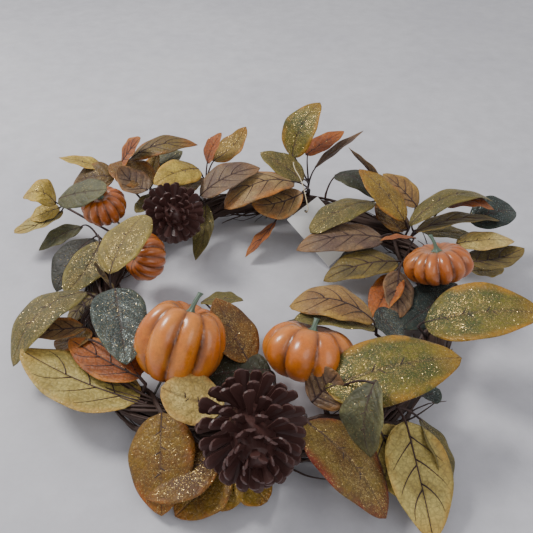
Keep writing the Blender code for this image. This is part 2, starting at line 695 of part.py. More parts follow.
def build():
    clear_scene()
    mats = make_materials()
    parts = bpy.data.collections.new("harvest_door_wreath")
    work = bpy.data.collections.new("cutters")
    bpy.context.scene.collection.children.link(parts)
    bpy.context.scene.collection.children.link(work)
    blockers = {}
    finished = []

    def finish(obj, finish_name):
        obj.data.materials.clear()
        obj.data.materials.append(mats[finish_name])
        work.objects.unlink(obj)
        parts.objects.link(obj)
        finished.append(obj)

    def place(maker, finish_name, *args, skip=()):
        for attempt in range(TRIES):
            obj = maker(*args, work, grow=-0.015 * attempt)
            trim(obj, blockers, skip)
            if closes(obj.data):
                break
            print("another try for", obj.name)
            if attempt < TRIES - 1:
                remove_object(obj)
        name = obj.name
        guard = maker(*args, work, grow=MOVING_CLEARANCE if name in POSABLE else CLEARANCE)
        guard.name = name + "_guard"
        blockers[name] = guard
        finish(obj, finish_name)
        return obj

    for index in range(STRAND_COUNT):
        place(vine_strand, "vine_bark", index)
    place(vine_wrap, "vine_bark")
    place(hanger_tie, "steel_wire")
    place(hanger_loop, "steel_wire", skip=("hanger_tie",))
    for name in PUMPKINS:
        place(stalk, "stalk_green", name)
        place(pumpkin, "pumpkin_shell", name)
    for name in CONES:
        place(cone, "cone_scale", name)
    for name in PUMPKINS:
        place(pick, "steel_wire", name)
    for name in CONES:
        place(cone_wire, "steel_wire", name)
    place(tag_card, "card_white")
    place(tag_string, "string_cream", skip=("tag_card",))
    for name in SPRIGS:
        place(sprig, SPRIG_FINISH[name], name)

    for guard in list(work.objects):
        remove_object(guard)
    lows = [bounds_of(obj.data)[0] for obj in finished]
    highs = [bounds_of(obj.data)[1] for obj in finished]
    low = [min(box[k] for box in lows) for k in range(3)]
    high = [max(box[k] for box in highs) for k in range(3)]
    shift = Vector((-(low[0] + high[0]) / 2.0, -(low[1] + high[1]) / 2.0, -low[2]))
    centre, out = ring_frame(math.pi / 2.0)
    pivots = {name: trunk_start(name) for name in POSABLE}
    pivots["hanger_loop"] = centre + out * TIE_ORBIT * MM
    pivots["tag_card"] = tag_hole()
    print("ring centre from the origin (mm): %.3f %.3f %.3f" % tuple(shift / MM))
    for obj in finished:
        pivot = pivots.get(obj.name, Vector((0, 0, 0)))
        obj.data.transform(Matrix.Translation(-pivot))
        obj.location = pivot + shift
        if obj.name.startswith(("vine", "pumpkin", "stalk", "pick", "wire", "hanger", "tag_string")):
            obj.data.shade_smooth()
        if obj.name in pivots:
            print("hinge of %s (mm): %.2f %.2f %.2f" % (obj.name, *((pivot + shift) / MM)))
    bpy.data.collections.remove(work)


build()
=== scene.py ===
"""Harvest door wreath: the finished look of every piece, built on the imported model's frame."""
import json
import math
import random

import bmesh
import bpy
from bpy.props import FloatProperty, FloatVectorProperty, IntProperty, PointerProperty
from mathutils import Matrix, Vector, noise


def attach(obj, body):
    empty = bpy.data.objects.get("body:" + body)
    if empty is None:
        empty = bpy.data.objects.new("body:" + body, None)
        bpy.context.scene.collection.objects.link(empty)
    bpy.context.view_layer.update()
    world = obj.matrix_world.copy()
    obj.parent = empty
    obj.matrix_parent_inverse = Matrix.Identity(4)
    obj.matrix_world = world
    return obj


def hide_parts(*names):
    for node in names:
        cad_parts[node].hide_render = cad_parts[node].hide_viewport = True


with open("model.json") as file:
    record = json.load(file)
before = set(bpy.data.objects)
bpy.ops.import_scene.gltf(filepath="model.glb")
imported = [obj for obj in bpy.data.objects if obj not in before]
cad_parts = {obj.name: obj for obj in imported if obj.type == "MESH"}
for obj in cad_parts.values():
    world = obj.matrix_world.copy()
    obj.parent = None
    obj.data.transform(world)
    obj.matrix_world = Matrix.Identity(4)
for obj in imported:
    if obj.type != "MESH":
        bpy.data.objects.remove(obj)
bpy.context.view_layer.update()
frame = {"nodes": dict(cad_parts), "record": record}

bl_info = {
    "name": "Harvest Door Wreath",
    "version": (1, 0, 0),
    "blender": (4, 5, 0),
    "location": "View3D > Sidebar > Wreath",
    "description": "Builds a harvest door wreath of vine, painted leaves, pumpkins and cones",
    "category": "Add Mesh",
}

MM = 0.001

# ---- where things are: millimetres from the ring's middle, heights from the table -------------------
RING_MIDDLE = Vector((1.161, 3.376, -0.107))
RING_RADIUS = 185.0
RING_HEIGHT = 22.0
TRUNK_FOOT = 14.5        # from the bundle's middle to where a sprig's wire leaves it
TRUNK_RADIUS = 1.4
STEM_RADIUS = 1.1

# centre, tilt direction, tilt, radius, half height, ribs, stalk length
PUMPKINS = {
    "pumpkin_big_left": ((-77, -109, 65), 60, 38, 41, 39, 9, 20),
    "pumpkin_big_right": ((38, -113, 57), 70, 38, 44, 27, 9, 12),
    "pumpkin_mini_right": ((182, 8, 61), 120, 24, 36, 20, 13, 17),
    "pumpkin_mini_back": ((-195, 116, 62), 235, 12, 27, 20, 12, 11),
    "pumpkin_mini_left": ((-134, 33, 50), 215, 62, 27, 20, 12, 10),
}

# centre, tilt direction, tilt, radius, half length, number of scales
CONES = {
    "cone_front": ((-11, -210, 76), 280, 66, 41, 42, 120),
    "cone_back": ((-108, 92, 68), 285, 60, 35, 36, 84),
}

# where a leaf is widest from foot to tip, and how full its outline is
OUTLINES = {"ovate": (0.42, 0.66), "lance": (0.45, 0.84), "round": (0.50, 0.54), "heart": (0.36, 0.60)}

# first colour, second colour, edge colour, glitter, 1.0 where the ribbed underside faces out
LOOKS = {
    "green_gold": ((122, 114, 26), (74, 86, 26), (182, 128, 18), 0.85, 0.0),
    "gold_red": ((136, 112, 40), (112, 80, 34), (140, 46, 24), 0.90, 0.0),
    "gold_orange": ((141, 105, 16), (121, 80, 13), (168, 92, 11), 0.55, 0.0),
    "gold_brown": ((128, 88, 22), (97, 61, 18), (147, 89, 22), 0.70, 0.0),
    "gold": ((166, 131, 32), (138, 106, 23), (179, 110, 18), 0.75, 0.0),
    "pale_yellow": ((215, 185, 77), (184, 154, 59), (206, 161, 64), 0.35, 0.0),
    "yellow_olive": ((155, 134, 56), (127, 111, 43), (166, 146, 62), 0.70, 0.0),
    "cream": ((226, 202, 124), (200, 172, 94), (206, 160, 80), 0.20, 0.0),
    "cream_ribbed": ((206, 186, 104), (178, 156, 80), (196, 156, 70), 0.05, 1.0),
    "orange": ((176, 92, 30), (150, 74, 24), (196, 118, 36), 0.10, 0.0),
    "orange_ribbed": ((178, 96, 34), (148, 76, 28), (196, 120, 38), 0.05, 1.0),
    "olive": ((113, 102, 40), (91, 85, 32), (130, 114, 41), 0.30, 0.0),
    "olive_glitter": ((111, 100, 45), (86, 85, 40), (130, 117, 47), 0.85, 0.0),
    "olive_ribbed": ((119, 101, 44), (94, 80, 37), (141, 116, 42), 0.05, 1.0),
    "olive_orange": ((124, 101, 37), (103, 76, 29), (175, 90, 18), 0.10, 1.0),
    "green": ((82, 89, 32), (65, 75, 31), (119, 112, 38), 0.20, 0.0),
    "dark_green": ((55, 59, 39), (39, 45, 33), (74, 74, 39), 0.10, 0.0),
    # near-black look: painted shade, the colour of leaves lying in shadow under other leaves and the tag
    "painted_shade_black_green": ((41, 43, 33), (30, 32, 26), (52, 54, 38), 0.05, 0.0),
    "grey_green": ((100, 100, 66), (78, 81, 56), (116, 114, 71), 0.10, 0.0),
    "teal": ((54, 68, 62), (40, 52, 50), (71, 82, 67), 1.00, 0.0),
    "teal_dark": ((45, 61, 57), (32, 47, 45), (60, 76, 64), 0.30, 0.0),
    "plum": ((130, 104, 76), (106, 80, 66), (160, 114, 64), 0.05, 1.0),
    "plum_orange": ((170, 138, 86), (142, 106, 68), (198, 122, 44), 0.05, 1.0),
    "tan_pink": ((168, 128, 70), (137, 99, 57), (188, 147, 61), 0.15, 1.0),
    "brown": ((105, 69, 29), (80, 51, 25), (128, 86, 31), 0.10, 0.0),
    "brown_olive": ((114, 86, 28), (91, 67, 25), (141, 97, 28), 0.20, 0.0),
}

SILVERED = ("teal", "teal_dark", "dark_green")

# sprig: its fork, then each leaf's foot, tip, width, roll, arch, cup, outline and look
SPRIGS = {
    "sprig_right_large": ((149, -67, 42), [
        ((150, -77, 58), (244, -99, 92), 66, 10, 10, 0.1, "ovate", "green_gold"),
    ]),
    "sprig_front_green": ((48, -155, 46), [
        ((49, -160, 64), (162, -144, 84), 66, 5, 12, -0.08, "ovate", "green_gold"),
        ((86, -173, 92), (82, -211, 44), 42, 45, 12, 0.2, "lance", "grey_green"),
        ((38, -163, 50), (59, -155, 78), 42, 25, -2, 0.1, "round", "plum"),
    ]),
    "sprig_front_cream": ((-105, -153, 34), [
        ((-112, -151, 36), (-228, -102, 48), 66, 10, -6, 0.06, "ovate", "cream_ribbed"),
    ]),
    "sprig_front_red": ((33, -169, 40), [
        ((32, -184, 52), (91, -248, 20), 60, -15, 12, -0.05, "ovate", "gold_red"),
    ]),
    "sprig_left_teal": ((-156, -37, 50), [
        ((-146, -50, 78), (-118, -142, 74), 50, -5, 2, 0.05, "heart", "teal"),
    ]),
    "sprig_left_cream": ((-160, -22, 48), [
        ((-153, -36, 84), (-128, 36, 104), 58, -15, 8, -0.06, "round", "yellow_olive"),
        ((-158, -25, 56), (-182, 14, 58), 29, 65, -2, 0.08, "ovate", "olive_ribbed"),
    ]),
    "sprig_front_left": ((-84, -171, 36), [
        ((-88, -169, 44), (-82, -240, 8), 58, 15, 4, -0.1, "ovate", "gold_orange"),
        ((-38, -203, 30), (-100, -224, 12), 54, 0, 6, 0.08, "ovate", "gold_brown"),
        ((-32, -207, 26), (-72, -240, 7), 48, 0, 0, 0.06, "ovate", "gold_orange"),
        ((-33, -209, 22), (-35, -236, 7), 38, 20, 2, 0.06, "round", "gold"),
        ((-22, -208, 20), (1, -228, 8), 40, -15, 0, 0.06, "round", "gold"),
    ]),
    "sprig_front_small": ((-36, -170, 46), [
        ((-35, -172, 54), (-87, -162, 68), 50, 0, -2, 0.08, "round", "cream"),
    ]),
    "sprig_front_right": ((110, -163, 43), [
        ((92, -179, 42), (118, -232, 12), 52, -10, 0, 0.1, "ovate", "cream_ribbed"),
        ((116, -176, 42), (126, -261, 12), 56, -10, 2, 0.1, "ovate", "cream_ribbed"),
        ((131, -167, 34), (150, -222, 10), 38, -40, 4, 0.12, "lance", "olive"),
        ((134, -152, 45), (153, -141, 40), 24, 0, -2, 0.1, "ovate", "teal_dark"),
    ]),
    "sprig_top_tall": ((56, 193, 46), [
        ((34, 210, 76), (69, 239, 139), 52, 5, 14, 0.06, "ovate", "green_gold"),
        ((52, 217, 76), (104, 246, 96), 31, 5, 2, 0.08, "ovate", "orange"),
        ((64, 207, 62), (130, 246, 96), 27, -20, 2, 0.15, "lance", "brown"),
        ((47, 174, 62), (-8, 206, 86), 38, -10, 4, 0.12, "ovate", "olive_glitter"),
    ]),
    "sprig_top_low": ((56, 178, 46), [
        ((35, 163, 66), (-52, 128, 50), 60, 0, 20, -0.1, "round", "plum_orange"),
        ((45, 145, 62), (-18, 128, 56), 55, -10, -6, -0.08, "round", "plum_orange"),
        ((11, 123, 34), (-26, 83, 10), 25, 25, 0, 0.12, "lance", "orange_ribbed"),
    ]),
    "sprig_top_right": ((77, 171, 44), [
        ((88, 182, 66), (140, 151, 48), 42, 0, 14, -0.1, "ovate", "dark_green"),
    ]),
    "sprig_right_tag": ((146, 143, 44), [
        ((131, 125, 62), (51, 74, 52), 50, 10, 12, -0.08, "round", "olive_glitter"),
    ]),
    "sprig_right_inner": ((149, 87, 40), [
        ((134, 65, 52), (34, 56, 42), 54, 0, 12, -0.06, "ovate", "plum"),
        # this near-black leaf paints the shade beside the tag
        ((129, 75, 36), (80, 50, 22), 30, 25, 4, 0.05, "ovate", "painted_shade_black_green"),
    ]),
    "sprig_right_plum": ((153, 36, 40), [
        ((146, 32, 44), (62, 9, 36), 46, 0, 10, 0.05, "ovate", "olive_ribbed"),
        ((168, 55, 60), (126, 48, 62), 22, 25, 2, 0.1, "lance", "orange"),
        ((142, 9, 50), (134, -48, 36), 36, -20, -2, 0.1, "ovate", "plum"),
        ((141, 13, 44), (108, -47, 36), 34, 10, 0, 0.1, "ovate", "orange"),
    ]),
    "sprig_right_gold": ((170, 95, 42), [
        ((161, 88, 60), (112, 145, 96), 42, 0, 8, -0.1, "ovate", "gold"),
        ((181, 114, 62), (142, 148, 88), 42, 0, 4, 0.08, "ovate", "tan_pink"),
        ((161, 88, 44), (140, 142, 54), 40, 5, 0, 0.08, "ovate", "gold_brown"),
        ((146, 139, 76), (101, 176, 108), 26, 55, 0, 0.15, "lance", "green"),
    ]),
    "sprig_right_olive": ((176, 91, 42), [
        ((165, 78, 60), (268, 109, 74), 38, -10, 24, -0.1, "ovate", "olive"),
        ((173, 74, 54), (274, 91, 58), 37, -15, 10, 0.08, "ovate", "olive_ribbed"),
        ((185, 88, 44), (249, 84, 38), 38, -10, 4, 0.05, "ovate", "olive_glitter"),
    ]),
    "sprig_right_teal": ((202, 113, 42), [
        ((211, 104, 70), (266, 96, 70), 34, -5, 10, 0.08, "ovate", "orange"),
        ((246, 106, 46), (303, 115, 54), 46, 20, 12, 0.06, "ovate", "teal_dark"),
    ]),
    "sprig_right_mini": ((224, 46, 32), [
        ((218, 62, 46), (283, 60, 52), 40, -5, 4, -0.05, "ovate", "cream"),
        ((227, 39, 38), (291, 49, 50), 50, -10, -4, 0.08, "ovate", "olive_ribbed"),
        ((232, 39, 26), (275, 48, 22), 32, -10, -2, 0.05, "ovate", "yellow_olive"),
    ]),
    "sprig_right_dark": ((158, -56, 38), [
        ((206, 4, 36), (134, -60, 33), 54, -5, -2, 0.04, "ovate", "teal_dark"),
    ]),
    "sprig_inner_pink": ((107, -73, 38), [
        ((101, -79, 62), (22, -62, 66), 50, 5, 18, -0.1, "round", "tan_pink"),
        ((103, -78, 54), (25, -88, 72), 46, 14, 8, 0.05, "ovate", "olive_glitter"),
        ((104, -76, 46), (18, -77, 60), 29, 30, 4, 0.05, "ovate", "dark_green"),
        ((110, -56, 58), (131, -83, 44), 38, -15, -4, 0.1, "ovate", "teal"),
    ]),
    "sprig_inner_gold": ((-13, -122, 40), [
        ((-16, -116, 46), (-48, -62, 76), 48, 15, 0, 0.08, "ovate", "gold_brown"),
        ((-66, -40, 50), (-23, -45, 56), 33, -20, 4, 0.05, "ovate", "olive"),
    ]),
    "sprig_inner_dark": ((7, -125, 38), [
        ((4, -123, 44), (-64, -128, 36), 52, -5, 6, -0.05, "ovate", "dark_green"),
    ]),
    "sprig_left_orange": ((-107, -138, 43), [
        ((-112, -134, 47), (-190, -82, 42), 42, 0, -2, 0.06, "ovate", "orange_ribbed"),
        ((-114, -133, 50), (-127, -104, 56), 26, 40, -2, 0.08, "ovate", "orange"),
        ((-168, -86, 45), (-211, -70, 24), 32, 0, 0, 0.06, "ovate", "gold_orange"),
    ]),
    "sprig_left_long": ((-173, -31, 42), [
        ((-184, -29, 54), (-238, -107, 30), 58, 15, 22, -0.06, "ovate", "olive_glitter"),
        ((-179, -16, 38), (-209, -38, 16), 38, 10, 4, 0.06, "ovate", "olive_ribbed"),
        ((-178, -66, 40), (-232, -78, 44), 31, 0, 2, 0.1, "lance", "plum_orange"),
    ]),
    "sprig_left_olive": ((-200, 83, 42), [
        ((-188, 57, 54), (-208, -22, 46), 46, 0, -6, 0.05, "ovate", "olive_glitter"),
        # this near-black leaf, tucked under the leaf above, paints shade
        ((-205, 81, 40), (-232, 8, 20), 48, 5, 10, 0.06, "ovate", "painted_shade_black_green"),
        ((-234, 132, 20), (-283, 99, 7), 32, -5, 6, 0.04, "lance", "grey_green"),
    ]),
    "sprig_left_far": ((-257, 146, 42), [
        ((-263, 139, 50), (-300, 136, 62), 44, -10, 16, 0.1, "ovate", "pale_yellow"),
        ((-261, 142, 42), (-296, 127, 34), 32, -10, 2, 0.08, "ovate", "pale_yellow"),
        ((-259, 144, 36), (-305, 97, 36), 34, 5, -2, 0.15, "round", "cream_ribbed"),
        ((-255, 132, 62), (-183, 101, 94), 42, 25, 4, -0.1, "round", "grey_green"),
    ]),
    "sprig_back_orange": ((-194, 200, 54), [
        ((-189, 160, 76), (-246, 162, 62), 50, -20, 10, -0.1, "ovate", "brown_olive"),
        ((-186, 186, 80), (-156, 187, 116), 40, 15, 2, 0.1, "ovate", "orange_ribbed"),
        ((-177, 196, 80), (-88, 202, 98), 40, 10, 14, -0.1, "lance", "olive_orange"),
        ((-143, 150, 68), (-199, 182, 82), 56, 0, 6, 0.05, "ovate", "gold_brown"),
        ((-202, 175, 76), (-264, 187, 88), 29, 5, 4, 0.08, "lance", "pale_yellow"),
    ]),
    "sprig_back_grey": ((-152, 178, 46), [
        ((-146, 197, 62), (-111, 217, 82), 36, 5, 2, 0.1, "ovate", "grey_green"),
        ((-153, 193, 58), (-142, 206, 86), 32, -10, 0, 0.08, "ovate", "gold"),
        ((-113, 164, 52), (-82, 181, 62), 38, -5, 0, 0.08, "ovate", "brown_olive"),
        ((-145, 136, 72), (-181, 156, 94), 44, 0, -6, 0.12, "ovate", "plum"),
        ((-141, 160, 54), (-156, 107, 58), 27, 0, -2, 0.08, "ovate", "olive"),
    ]),
    "sprig_back_gold": ((-80, 188, 46), [
        ((-79, 213, 66), (-58, 224, 104), 33, 0, 4, 0.1, "ovate", "orange"),
        ((-72, 219, 66), (-27, 246, 102), 46, 0, -6, 0.08, "ovate", "gold"),
        ((-87, 184, 74), (-135, 130, 84), 44, -20, 8, -0.08, "ovate", "pale_yellow"),
    ]),
    "sprig_back_wide": ((-85, 154, 46), [
        ((-83, 145, 58), (-8, 169, 84), 52, 5, 10, 0.06, "ovate", "plum"),
        ((-77, 148, 44), (-85, 70, 16), 30, 25, -6, 0.1, "lance", "olive"),
    ]),
}

TAG_MIDDLE = Vector((70, 114, 27))
TAG_HOLE_DROP = 32.0      # from the card's middle up to its hole
TAG_ROUTE = ((44, 150, 74), (36, 168, 82), (34, 182, 84), (36, 192, 78))
STRING_DIAMETER = 1.2

# how the bundle wanders from a true circle: its size, turns round the ring, and start
SWAYS = ((2.0, 3.0, 1.0), (1.2, 5.0, 0.4))
GOLDEN_ANGLE = 2.399963


def tone(red, green, blue):
    """A colour given in display values, 0 to 255, as Blender's linear numbers."""
    return tuple(((c / 255 + 0.055) / 1.055) ** 2.4 if c > 10 else c / 255 / 12.92
                 for c in (red, green, blue)) + (1.0,)


def vec(point):
    """A place in millimetres from the ring's middle, in the frame's metres."""
    return (Vector(point) + RING_MIDDLE) * MM


def ring_frame(clock):
    """The bundle's middle and its outward direction at an angle, anticlockwise from +X."""
    out = Vector((math.cos(clock), math.sin(clock), 0.0))
    sway = sum(size * math.sin(turns * clock + start) for size, turns, start in SWAYS)
    return vec(out * (RING_RADIUS + sway) + Vector((0, 0, RING_HEIGHT))), out


def axis_matrix(centre, direction, tilt):
    """Local +Z leans by tilt degrees towards a compass direction."""
    lean = Matrix.Rotation(math.radians(tilt), 4, "Y")
    turn = Matrix.Rotation(math.radians(direction), 4, "Z")
    return Matrix.Translation(vec(centre)) @ turn @ lean


def body_of_node(node):
    """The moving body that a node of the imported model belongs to."""
    return next(body for body, nodes in frame["record"]["behaviour"]["bodies"].items() if node in nodes)


def settings():
    """The sizes and colours that the user chose."""
    return bpy.context.scene.harvest_wreath


# ---- nodes ---------------------------------------------------------------------------------------------
class Socket:
    """An output of a node, so that a tree's sums are written as plain arithmetic."""

    def __init__(self, tree, socket):
        self.tree, self.socket = tree, socket

    def __add__(self, other):
        return maths(self.tree, "ADD", self, other)

    def __sub__(self, other):
        return maths(self.tree, "SUBTRACT", self, other)

    def __rsub__(self, other):
        return maths(self.tree, "SUBTRACT", other, self)

    def __mul__(self, other):
        return maths(self.tree, "MULTIPLY", self, other)

    def __truediv__(self, other):
        return maths(self.tree, "DIVIDE", self, other)

    def __pow__(self, other):
        return maths(self.tree, "POWER", self, other)


def plug(tree, target, value):
    """Links an input to a socket, or sets it to a plain value."""
    if isinstance(value, Socket):
        value = value.socket
    if isinstance(value, bpy.types.NodeSocket):
        tree.links.new(value, target)
    else:
        target.default_value = value


def add(tree, kind, values=(), **props):
    """A node with its settings and inputs."""
    made = tree.nodes.new(kind)
    for name, value in props.items():
        setattr(made, name, value)
    for key, value in dict(values).items():
        plug(tree, made.inputs[key], value)
    return made


def result(tree, kind, values=(), output=0, **props):
    """One output of a new node."""
    return Socket(tree, add(tree, kind, values, **props).outputs[output])


def maths(tree, operation, a, b=0.0, clamp=False):
    """A sum that one node works out."""
    return result(tree, "ShaderNodeMath", {0: a, 1: b}, operation=operation, use_clamp=clamp)


def ramp(tree, value, low, high, out_low=0.0, out_high=1.0, kind="SMOOTHSTEP"):
    """A value between low and high turned into one between out_low and out_high."""
    return result(tree, "ShaderNodeMapRange", {0: value, 1: low, 2: high, 3: out_low, 4: out_high},
                  interpolation_type=kind)


def blend_colours(tree, factor, a, b, kind="MIX"):
    return result(tree, "ShaderNodeMix", {0: factor, 6: a, 7: b}, output=2, data_type="RGBA", blend_type=kind)


def noise_value(tree, position, scale, detail=3.0, rough=0.55):
    return result(tree, "ShaderNodeTexNoise", {"Vector": position, "Scale": scale, "Detail": detail,
                                               "Roughness": rough})


def attribute(tree, label, output="Color"):
    return result(tree, "ShaderNodeAttribute", output=output, attribute_name=label)


def split(tree, value, kind="ShaderNodeSeparateColor"):
    """The parts of a colour or a position, as numbers."""
    return [Socket(tree, part) for part in add(tree, kind, {0: value}).outputs]


def group(name, inputs, outputs, kind="ShaderNodeTree"):
    """A node group with named sockets, given as {name: (kind, default)}, with its inputs and output node."""
    tree = bpy.data.node_groups.new(name, kind)
    for label, (socket_kind, default) in inputs.items():
        socket = tree.interface.new_socket(label, in_out="INPUT", socket_type="NodeSocket" + socket_kind)
        if default is not None:
            socket.default_value = default
    for label, socket_kind in outputs.items():
        tree.interface.new_socket(label, in_out="OUTPUT", socket_type="NodeSocket" + socket_kind)
    entry, out = tree.nodes.new("NodeGroupInput"), tree.nodes.new("NodeGroupOutput")
    return tree, {label: Socket(tree, entry.outputs[label]) for label in inputs}, out


def mottle_group():
    """Patchy colour: large patches of a second colour, then fine dark and light flecks."""
    tree, given, out = group("mottle", {
        "Position": ("Vector", None),
        "First": ("Color", (1, 1, 1, 1)), "Second": ("Color", (0.5, 0.5, 0.5, 1)),
        "Patch Scale": ("Float", 60.0), "Fleck Scale": ("Float", 420.0), "Fleck Depth": ("Float", 0.35),
    }, {"Color": "Color", "Fleck": "Float"})
    patch = ramp(tree, noise_value(tree, given["Position"], given["Patch Scale"]), 0.38, 0.64)
    colour = blend_colours(tree, patch, given["First"], given["Second"])
    fleck = noise_value(tree, given["Position"], given["Fleck Scale"], 4.0, 0.7)
    shade = ramp(tree, fleck, 0.3, 0.7, 1.0 - given["Fleck Depth"], 1.12, "LINEAR")
    grey = result(tree, "ShaderNodeCombineColor", {0: shade, 1: shade, 2: shade})
    plug(tree, out.inputs["Color"], blend_colours(tree, 1.0, colour, grey, "MULTIPLY"))
    plug(tree, out.inputs["Fleck"], fleck)
    return tree


def glitter_group():
    """Fine glitter: random flat flecks in drifts, as a mask, a brightness and a small height."""
    tree, given, out = group("glitter", {
        "Position": ("Vector", None), "Amount": ("Float", 0.5), "Grain": ("Float", 2100.0),
        "Drift Scale": ("Float", 70.0),
    }, {"Mask": "Float", "Spark": "Float", "Height": "Float"})
    cells = result(tree, "ShaderNodeTexVoronoi", {"Vector": given["Position"], "Scale": given["Grain"]},
                   output="Color")
    chance, spark, lift = split(tree, cells)
    drift = ramp(tree, noise_value(tree, given["Position"], given["Drift Scale"]), 0.36, 0.66, 0.25, 1.0)
    mask = maths(tree, "LESS_THAN", chance, given["Amount"] * drift * 0.34)
    for label, value in (("Mask", mask), ("Spark", spark), ("Height", mask * lift)):
        plug(tree, out.inputs[label], value)
    return tree


def shared(name, maker):
    """A group that is made once and then used again."""
    return bpy.data.node_groups.get(name) or maker()


def mottled(tree, place, first, second, patch=60.0, fleck=420.0, depth=0.35):
    """Two colours in patches, and the flecks over them."""
    made = add(tree, "ShaderNodeGroup", {
        "Position": place, "First": first, "Second": second, "Patch Scale": patch, "Fleck Scale": fleck,
        "Fleck Depth": depth}, node_tree=shared("mottle", mottle_group))
    return [Socket(tree, made.outputs[label]) for label in ("Color", "Fleck")]


def new_material(name):
    """A fresh node material: its tree, its Principled shader and the piece's own position."""
    mat = bpy.data.materials.new(name)
    mat.use_nodes = True
    tree = mat.node_tree
    return mat, tree, tree.nodes["Principled BSDF"], result(tree, "ShaderNodeTexCoord", output="Object")


def set_shader(tree, shader, values):
    """Sets or links the shader's named inputs."""
    for label, value in values.items():
        plug(tree, shader.inputs[label], value)


def bump(tree, height, distance, strength):
    return result(tree, "ShaderNodeBump", {"Height": height, "Strength": strength, "Distance": distance})


def painted_leaf():
    """Painted cloth leaf: tints and marks come from the leaf's own attributes, veins from its UV map."""
    mat, tree, shader, place = new_material("painted_leaf")
    first, second, edge = [attribute(tree, label) for label in ("first_tint", "second_tint", "edge_tint")]
    sparkle, ribbed, blade = split(tree, attribute(tree, "marks"))
    silvery = attribute(tree, "marks", "Alpha")
    across, along, _ = split(tree, result(tree, "ShaderNodeUVMap", uv_map="leaf"), "ShaderNodeSeparateXYZ")
    away = maths(tree, "ABSOLUTE", across * 2.0 - 1.0)

    wander = noise_value(tree, place, 80.0) - 0.5
    right_half = maths(tree, "GREATER_THAN", across, 0.5) * 0.45
    climb = along * 5.2 - away ** 1.25 * 1.7
    from_vein = maths(tree, "ABSOLUTE", maths(tree, "FRACT", climb + wander + (right_half + 2.0)) - 0.5)
    side_vein = ramp(tree, from_vein, 0.0, 0.05, 0.55, 0.0) * ramp(tree, away, 0.62, 0.98, 1.0, 0.0)
    midrib = ramp(tree, away, 0.015, 0.075, 1.0, 0.0)
    veins = maths(tree, "MAXIMUM", side_vein, midrib)
    quilt = result(tree, "ShaderNodeTexVoronoi", {"Vector": place, "Scale": 210.0},
                   feature="DISTANCE_TO_EDGE")
    painted_crease_shade = ramp(tree, quilt, 0.0, 0.14, 1.0, 0.0)

    paint, fleck = mottled(tree, place, first, second, 48.0, 380.0, 0.42)
    rim = ramp(tree, away, 0.55, 1.0) * ramp(tree, noise_value(tree, place, 34.0), 0.40, 0.62)
    tip = ramp(tree, along, 0.72, 1.0) * 0.6
    colour = blend_colours(tree, maths(tree, "MAXIMUM", rim, tip) * blade, paint, edge)
    # painted shade: the quilted creases, which the bump sets lower, are also darkened brown
    colour = blend_colours(tree, painted_crease_shade * 0.28 * blade, colour, tone(70, 52, 36))
    colour = blend_colours(tree, veins * ((0.42 - ribbed * 0.26) * blade), colour, tone(66, 40, 38))

    amount = sparkle * ramp(tree, away, 0.25, 0.95, 1.25, 0.35)
    glitter = add(tree, "ShaderNodeGroup", {"Position": place, "Amount": amount},
                  node_tree=shared("glitter", glitter_group))
    mask, spark, lift = [Socket(tree, part) for part in glitter.outputs]
    gold = blend_colours(tree, spark, tone(150, 116, 48), tone(232, 204, 134))
    silver = blend_colours(tree, spark, tone(92, 110, 106), tone(196, 208, 204))
    colour = blend_colours(tree, mask * 0.85, colour, blend_colours(tree, silvery, gold, silver))

    puffed = from_vein * 1.4 + ramp(tree, quilt, 0.0, 0.3) * 0.35 - midrib * 0.8
    relief = puffed * blade + (fleck * 0.25 + lift * 0.9)
    set_shader(tree, shader, {"Base Color": colour, "Metallic": mask * 0.75, "Sheen Weight": 0.08,
                              "Roughness": ramp(tree, fleck, 0.3, 0.7, 0.46, 0.68, "LINEAR") - mask * 0.26,
                              "Normal": bump(tree, relief, 0.0009, 0.8)})
    return mat


def glitter_flake():
    """Pale gold foil with a little of its leaf's colour."""
    mat, tree, shader, place = new_material("glitter_flake")
    spark = noise_value(tree, place, 500.0, 2.0)
    foil = blend_colours(tree, spark, tone(196, 160, 92), tone(244, 226, 176))
    set_shader(tree, shader, {"Base Color": blend_colours(tree, 0.22, foil, attribute(tree, "first_tint")),
                              "Metallic": 0.9, "Roughness": ramp(tree, spark, 0.35, 0.65, 0.18, 0.36)})
    return mat


def pumpkin_paint():
    """Orange shell, rubbed tan and grey-brown in its grooves and round the crown, and darker brown round the
    foot.
    """
    mat, tree, shader, place = new_material("pumpkin_paint")
    groove, crown, foot = split(tree, attribute(tree, "shell_marks"))
    ruddy = attribute(tree, "shell_marks", "Alpha") * 0.42
    main = tuple(settings().shell_colour)
    lighter = tuple(part * more for part, more in zip(main, (1.16, 1.45, 1.9)))
    paint, fleck = mottled(tree, place, main + (1.0,), lighter + (1.0,), 30.0, 300.0, 0.16)
    smear = noise_value(tree, place, 70.0, 5.0, 0.65)
    wash = groove * ramp(tree, smear, 0.30, 0.62, 0.35, 1.0) * 0.94
    dusty = crown * ramp(tree, smear, 0.38, 0.66, 0.15, 0.95) * 0.7
    colour = blend_colours(tree, ruddy, paint, tone(146, 66, 30))
    colour = blend_colours(tree, wash, colour, tone(92, 46, 22))
    colour = blend_colours(tree, dusty, colour, tone(150, 104, 58))
    # darker brown round the foot
    colour = blend_colours(tree, foot * 0.7, colour, tone(120, 78, 38))
    set_shader(tree, shader, {"Base Color": colour, "Roughness": ramp(tree, smear, 0.3, 0.7, 0.24, 0.44),
                              "Coat Weight": 0.8, "Coat Roughness": 0.2,
                              "Normal": bump(tree, smear + fleck * 0.5, 0.0006, 0.55)})
    return mat


